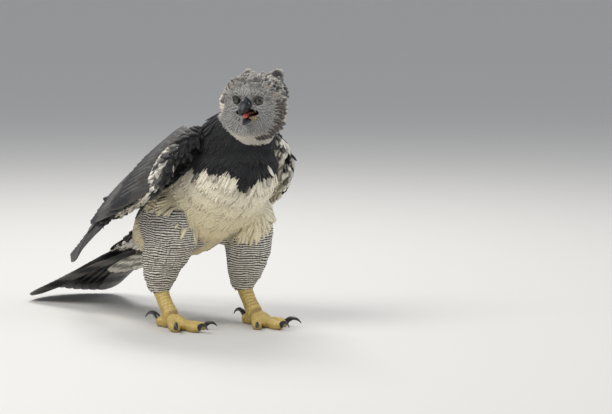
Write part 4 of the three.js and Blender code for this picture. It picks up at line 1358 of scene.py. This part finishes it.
def toe_rows(leg, toe):
    foot, way = toe_way(leg, toe)
    _, length, pad, _ = toe
    # the share of the toe's length, the height in pads and the girth in pads; the root meets the shank
    rows = [[0, 22 / pad, 1.15], [0.2, 17 / pad, 1.05], [0.4, 0.82, 1], [0.56, 0.98, 0.82]]
    rows += [[0.74, 0.8, 0.95], [0.88, 0.85, 0.78], [1, 0.95, 0.62]]
    return [[*(foot + way * length * s), high * pad, pad * fat, pad * fat * 0.95] for s, high, fat in rows]


def claw_rows(leg, toe):
    """An arc from the toe's end down to the tip, clear of the floor."""
    foot, way = toe_way(leg, toe)
    _, length, pad, claw = toe
    reach = claw * 0.72
    first = math.radians(CLAW_CURL[0])
    rows = []
    for f in np.linspace(0, 1, 6):
        turn = math.radians(lerp(*CLAW_CURL, f))
        out = length - 5 + reach * (math.sin(first) - math.sin(turn)) * 0.56
        z = pad * 0.6 + reach * 0.62 * (math.cos(turn) - math.cos(first)) + 1
        r = lerp(pad * 0.52, 0.8, f**1.15)
        rows.append([*(foot + way * out), max(z, r + 0.6), r * 0.85, r])
    return rows


def plates(points, normals, limbs):
    """1 in the middle of each plate, 0 between them and below; a limb is its rows, pitch and facing."""
    scute = np.zeros(len(points))
    nearest = np.full(len(points), 1e9)
    for rows, pitch, facing in limbs:
        line = along(rows, np.linspace(0, 1, 90))
        walked = np.concatenate([[0], np.cumsum(np.linalg.norm(np.diff(line[:, :3], axis=0), axis=1))])
        gap = np.linalg.norm(points[:, None] - line[None, :, :3], axis=-1) - line[None, :, 3]
        closer = gap.min(1) < nearest
        nearest = np.where(closer, gap.min(1), nearest)
        phase = (walked[gap.argmin(1)] / pitch) % 1
        plate = smooth(normals @ np.array(facing), 0.05, 0.4) * (1 - np.abs(2 * phase - 1) ** 3)
        scute = np.where(closer, plate, scute)
    return scute


def make_foot(label):
    leg = LEGS[label]
    _, x, y = leg
    shank = [
        [x, y + 50, 96, 13, 13],
        [x, y + 42, 72, 14, 14],
        [x, y + 24, 46, 13.6, 13.6],
        [x, y + 8, 26, 15.5, 15.5],
        [x, y, 14, 14, 12],
    ]
    toes = [toe_rows(leg, toe) for toe in TOES.values()]
    parts = [shaped_sphere("shank", 40, 40, swept(shank, limb_shape(True)))]
    parts += [shaped_sphere("toe", 28, 40, swept(rows, limb_shape(False))) for rows in toes]
    mesh = remeshed(f"foot_skin_{label}", parts, 1.5, 3)
    points = from_world(vertex_points(mesh))
    normals = vertex_normals(mesh)
    limbs = [(shank, SHANK_PLATE, (0, -1, 0))] + [(rows, TOE_PLATE, (0, 0, 1)) for rows in toes]
    scute = plates(points, normals, limbs)
    points = points + normals * (PLATE_RISE * scute)[:, None]
    points[:, 2] = np.maximum(points[:, 2], SOLE)
    set_points(mesh, to_world(points))
    colour = FOOT_YELLOW * (1 + 0.16 * value_noise(points, 4, 12)[:, None])
    colour = tinted(colour, PLATE_YELLOW, 0.7 * scute)
    crease = smooth(0.35 - scute, 0, 0.3) * smooth(normals[:, 2], 0, 0.5)
    colour = tinted(colour, CREASE_BROWN, 0.6 * crease)
    paint(mesh, tinted(colour, SOLE_BROWN, smooth(-points[:, 2], -6 - SOLE, -SOLE) * 0.6))
    add_object(f"foot_skin_{label}", mesh, scaled_skin, [f"foot_{label}"], "yellow_scale")
    for name, toe in TOES.items():
        piece = f"talon_{name}_{label}"
        mesh = shaped_sphere(piece, 24, 36, swept(claw_rows(leg, toe), limb_shape(False)))
        add_object(piece, mesh, claw_horn, [f"claw_{name}_{label}"], "horn")


# Stage
def direction(azimuth, elevation):
    """The way from the bird at an azimuth from its front and an elevation."""
    turn, rise = math.radians(azimuth), math.radians(elevation)
    return np.array([math.sin(turn) * math.cos(rise), -math.cos(turn) * math.cos(rise), math.sin(rise)])


def make_camera():
    turn = math.radians(CAMERA_AZIMUTH)
    right = np.array([math.cos(turn), math.sin(turn), 0])
    back = direction(CAMERA_AZIMUTH, CAMERA_ELEVATION)
    upward = np.cross(right, back) * -1
    upward = upward if upward[2] > 0 else -upward
    aim = right * (PHOTO_WIDTH / 2 - BIRD_PIXEL[0]) / PIXELS_PER_MM
    aim = to_world(aim + upward * (BIRD_PIXEL[1] - PHOTO_HEIGHT / 2) / PIXELS_PER_MM)
    lens = bpy.data.cameras.new("camera")
    lens.sensor_width = SENSOR_WIDTH
    lens.lens = SENSOR_WIDTH * CAMERA_DISTANCE / (PHOTO_WIDTH / PIXELS_PER_MM * MM)
    lens.clip_end = 60
    eye = bpy.data.objects.new("camera", lens)
    eye.location = Vector(aim + back * CAMERA_DISTANCE)
    eye.rotation_euler = Vector(-back).to_track_quat("-Z", "Y").to_euler()
    bpy.context.scene.collection.objects.link(eye)
    bpy.context.scene.camera = eye


def add_light(name, azimuth, elevation, distance, size, power, colour):
    lamp = bpy.data.lights.new(name, "AREA")
    lamp.size = size
    lamp.energy = power
    lamp.color = colour
    at = Vector(direction(azimuth, elevation)) * distance
    made = bpy.data.objects.new(name, lamp)
    made.location = at + Vector((0, 0, 0.25))
    made.rotation_euler = (-at).to_track_quat("-Z", "Y").to_euler()
    bpy.context.scene.collection.objects.link(made)


def make_stage():
    form = bmesh.new()
    bmesh.ops.create_grid(form, x_segments=1, y_segments=1, size=40)
    floor = bpy.data.objects.new("floor", mesh_of(form, "floor"))
    bpy.context.scene.collection.objects.link(floor)
    floor.data.materials.append(Surface("pale_floor", 0.85, 0.2, {"Base Color": (0.62, 0.61, 0.59, 1)}).made)
    floor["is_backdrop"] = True
    world = bpy.data.worlds.new("studio")
    bpy.context.scene.world = world
    world.use_nodes = True
    sky = world.node_tree.nodes["Background"]
    sky.inputs["Color"].default_value = (0.82, 0.85, 0.9, 1)
    sky.inputs["Strength"].default_value = 0.55
    add_light("key", -75, 48, 3.2, 1.6, 70, (1.0, 0.97, 0.92))
    add_light("fill", 25, 25, 3.5, 2.4, 28, (0.92, 0.95, 1.0))
    add_light("rim", 150, 55, 3.0, 1.4, 60, (1.0, 0.98, 0.95))
    bpy.context.scene.view_settings.view_transform = "Standard"


make_camera()
make_stage()
skin = make_skin()
body_coat(skin)
head_coat(skin)
head_vanes = [*disc_vanes(), *crown_vanes(), *crest_vanes()]
long_vanes("crest_and_disc", head_vanes, "grey_feather", material=plumage)
make_bill()
for label, side in (("left", 1), ("right", -1)):
    make_eye(label, side)
for label in WINGS:
    make_wing(label)
make_tail()
for label in LEGS:
    make_foot(label)

low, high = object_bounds()
boxes = [cad_low, cad_high], [low, high]
[[[float(v) for v in corner] for corner in box] for box in boxes]
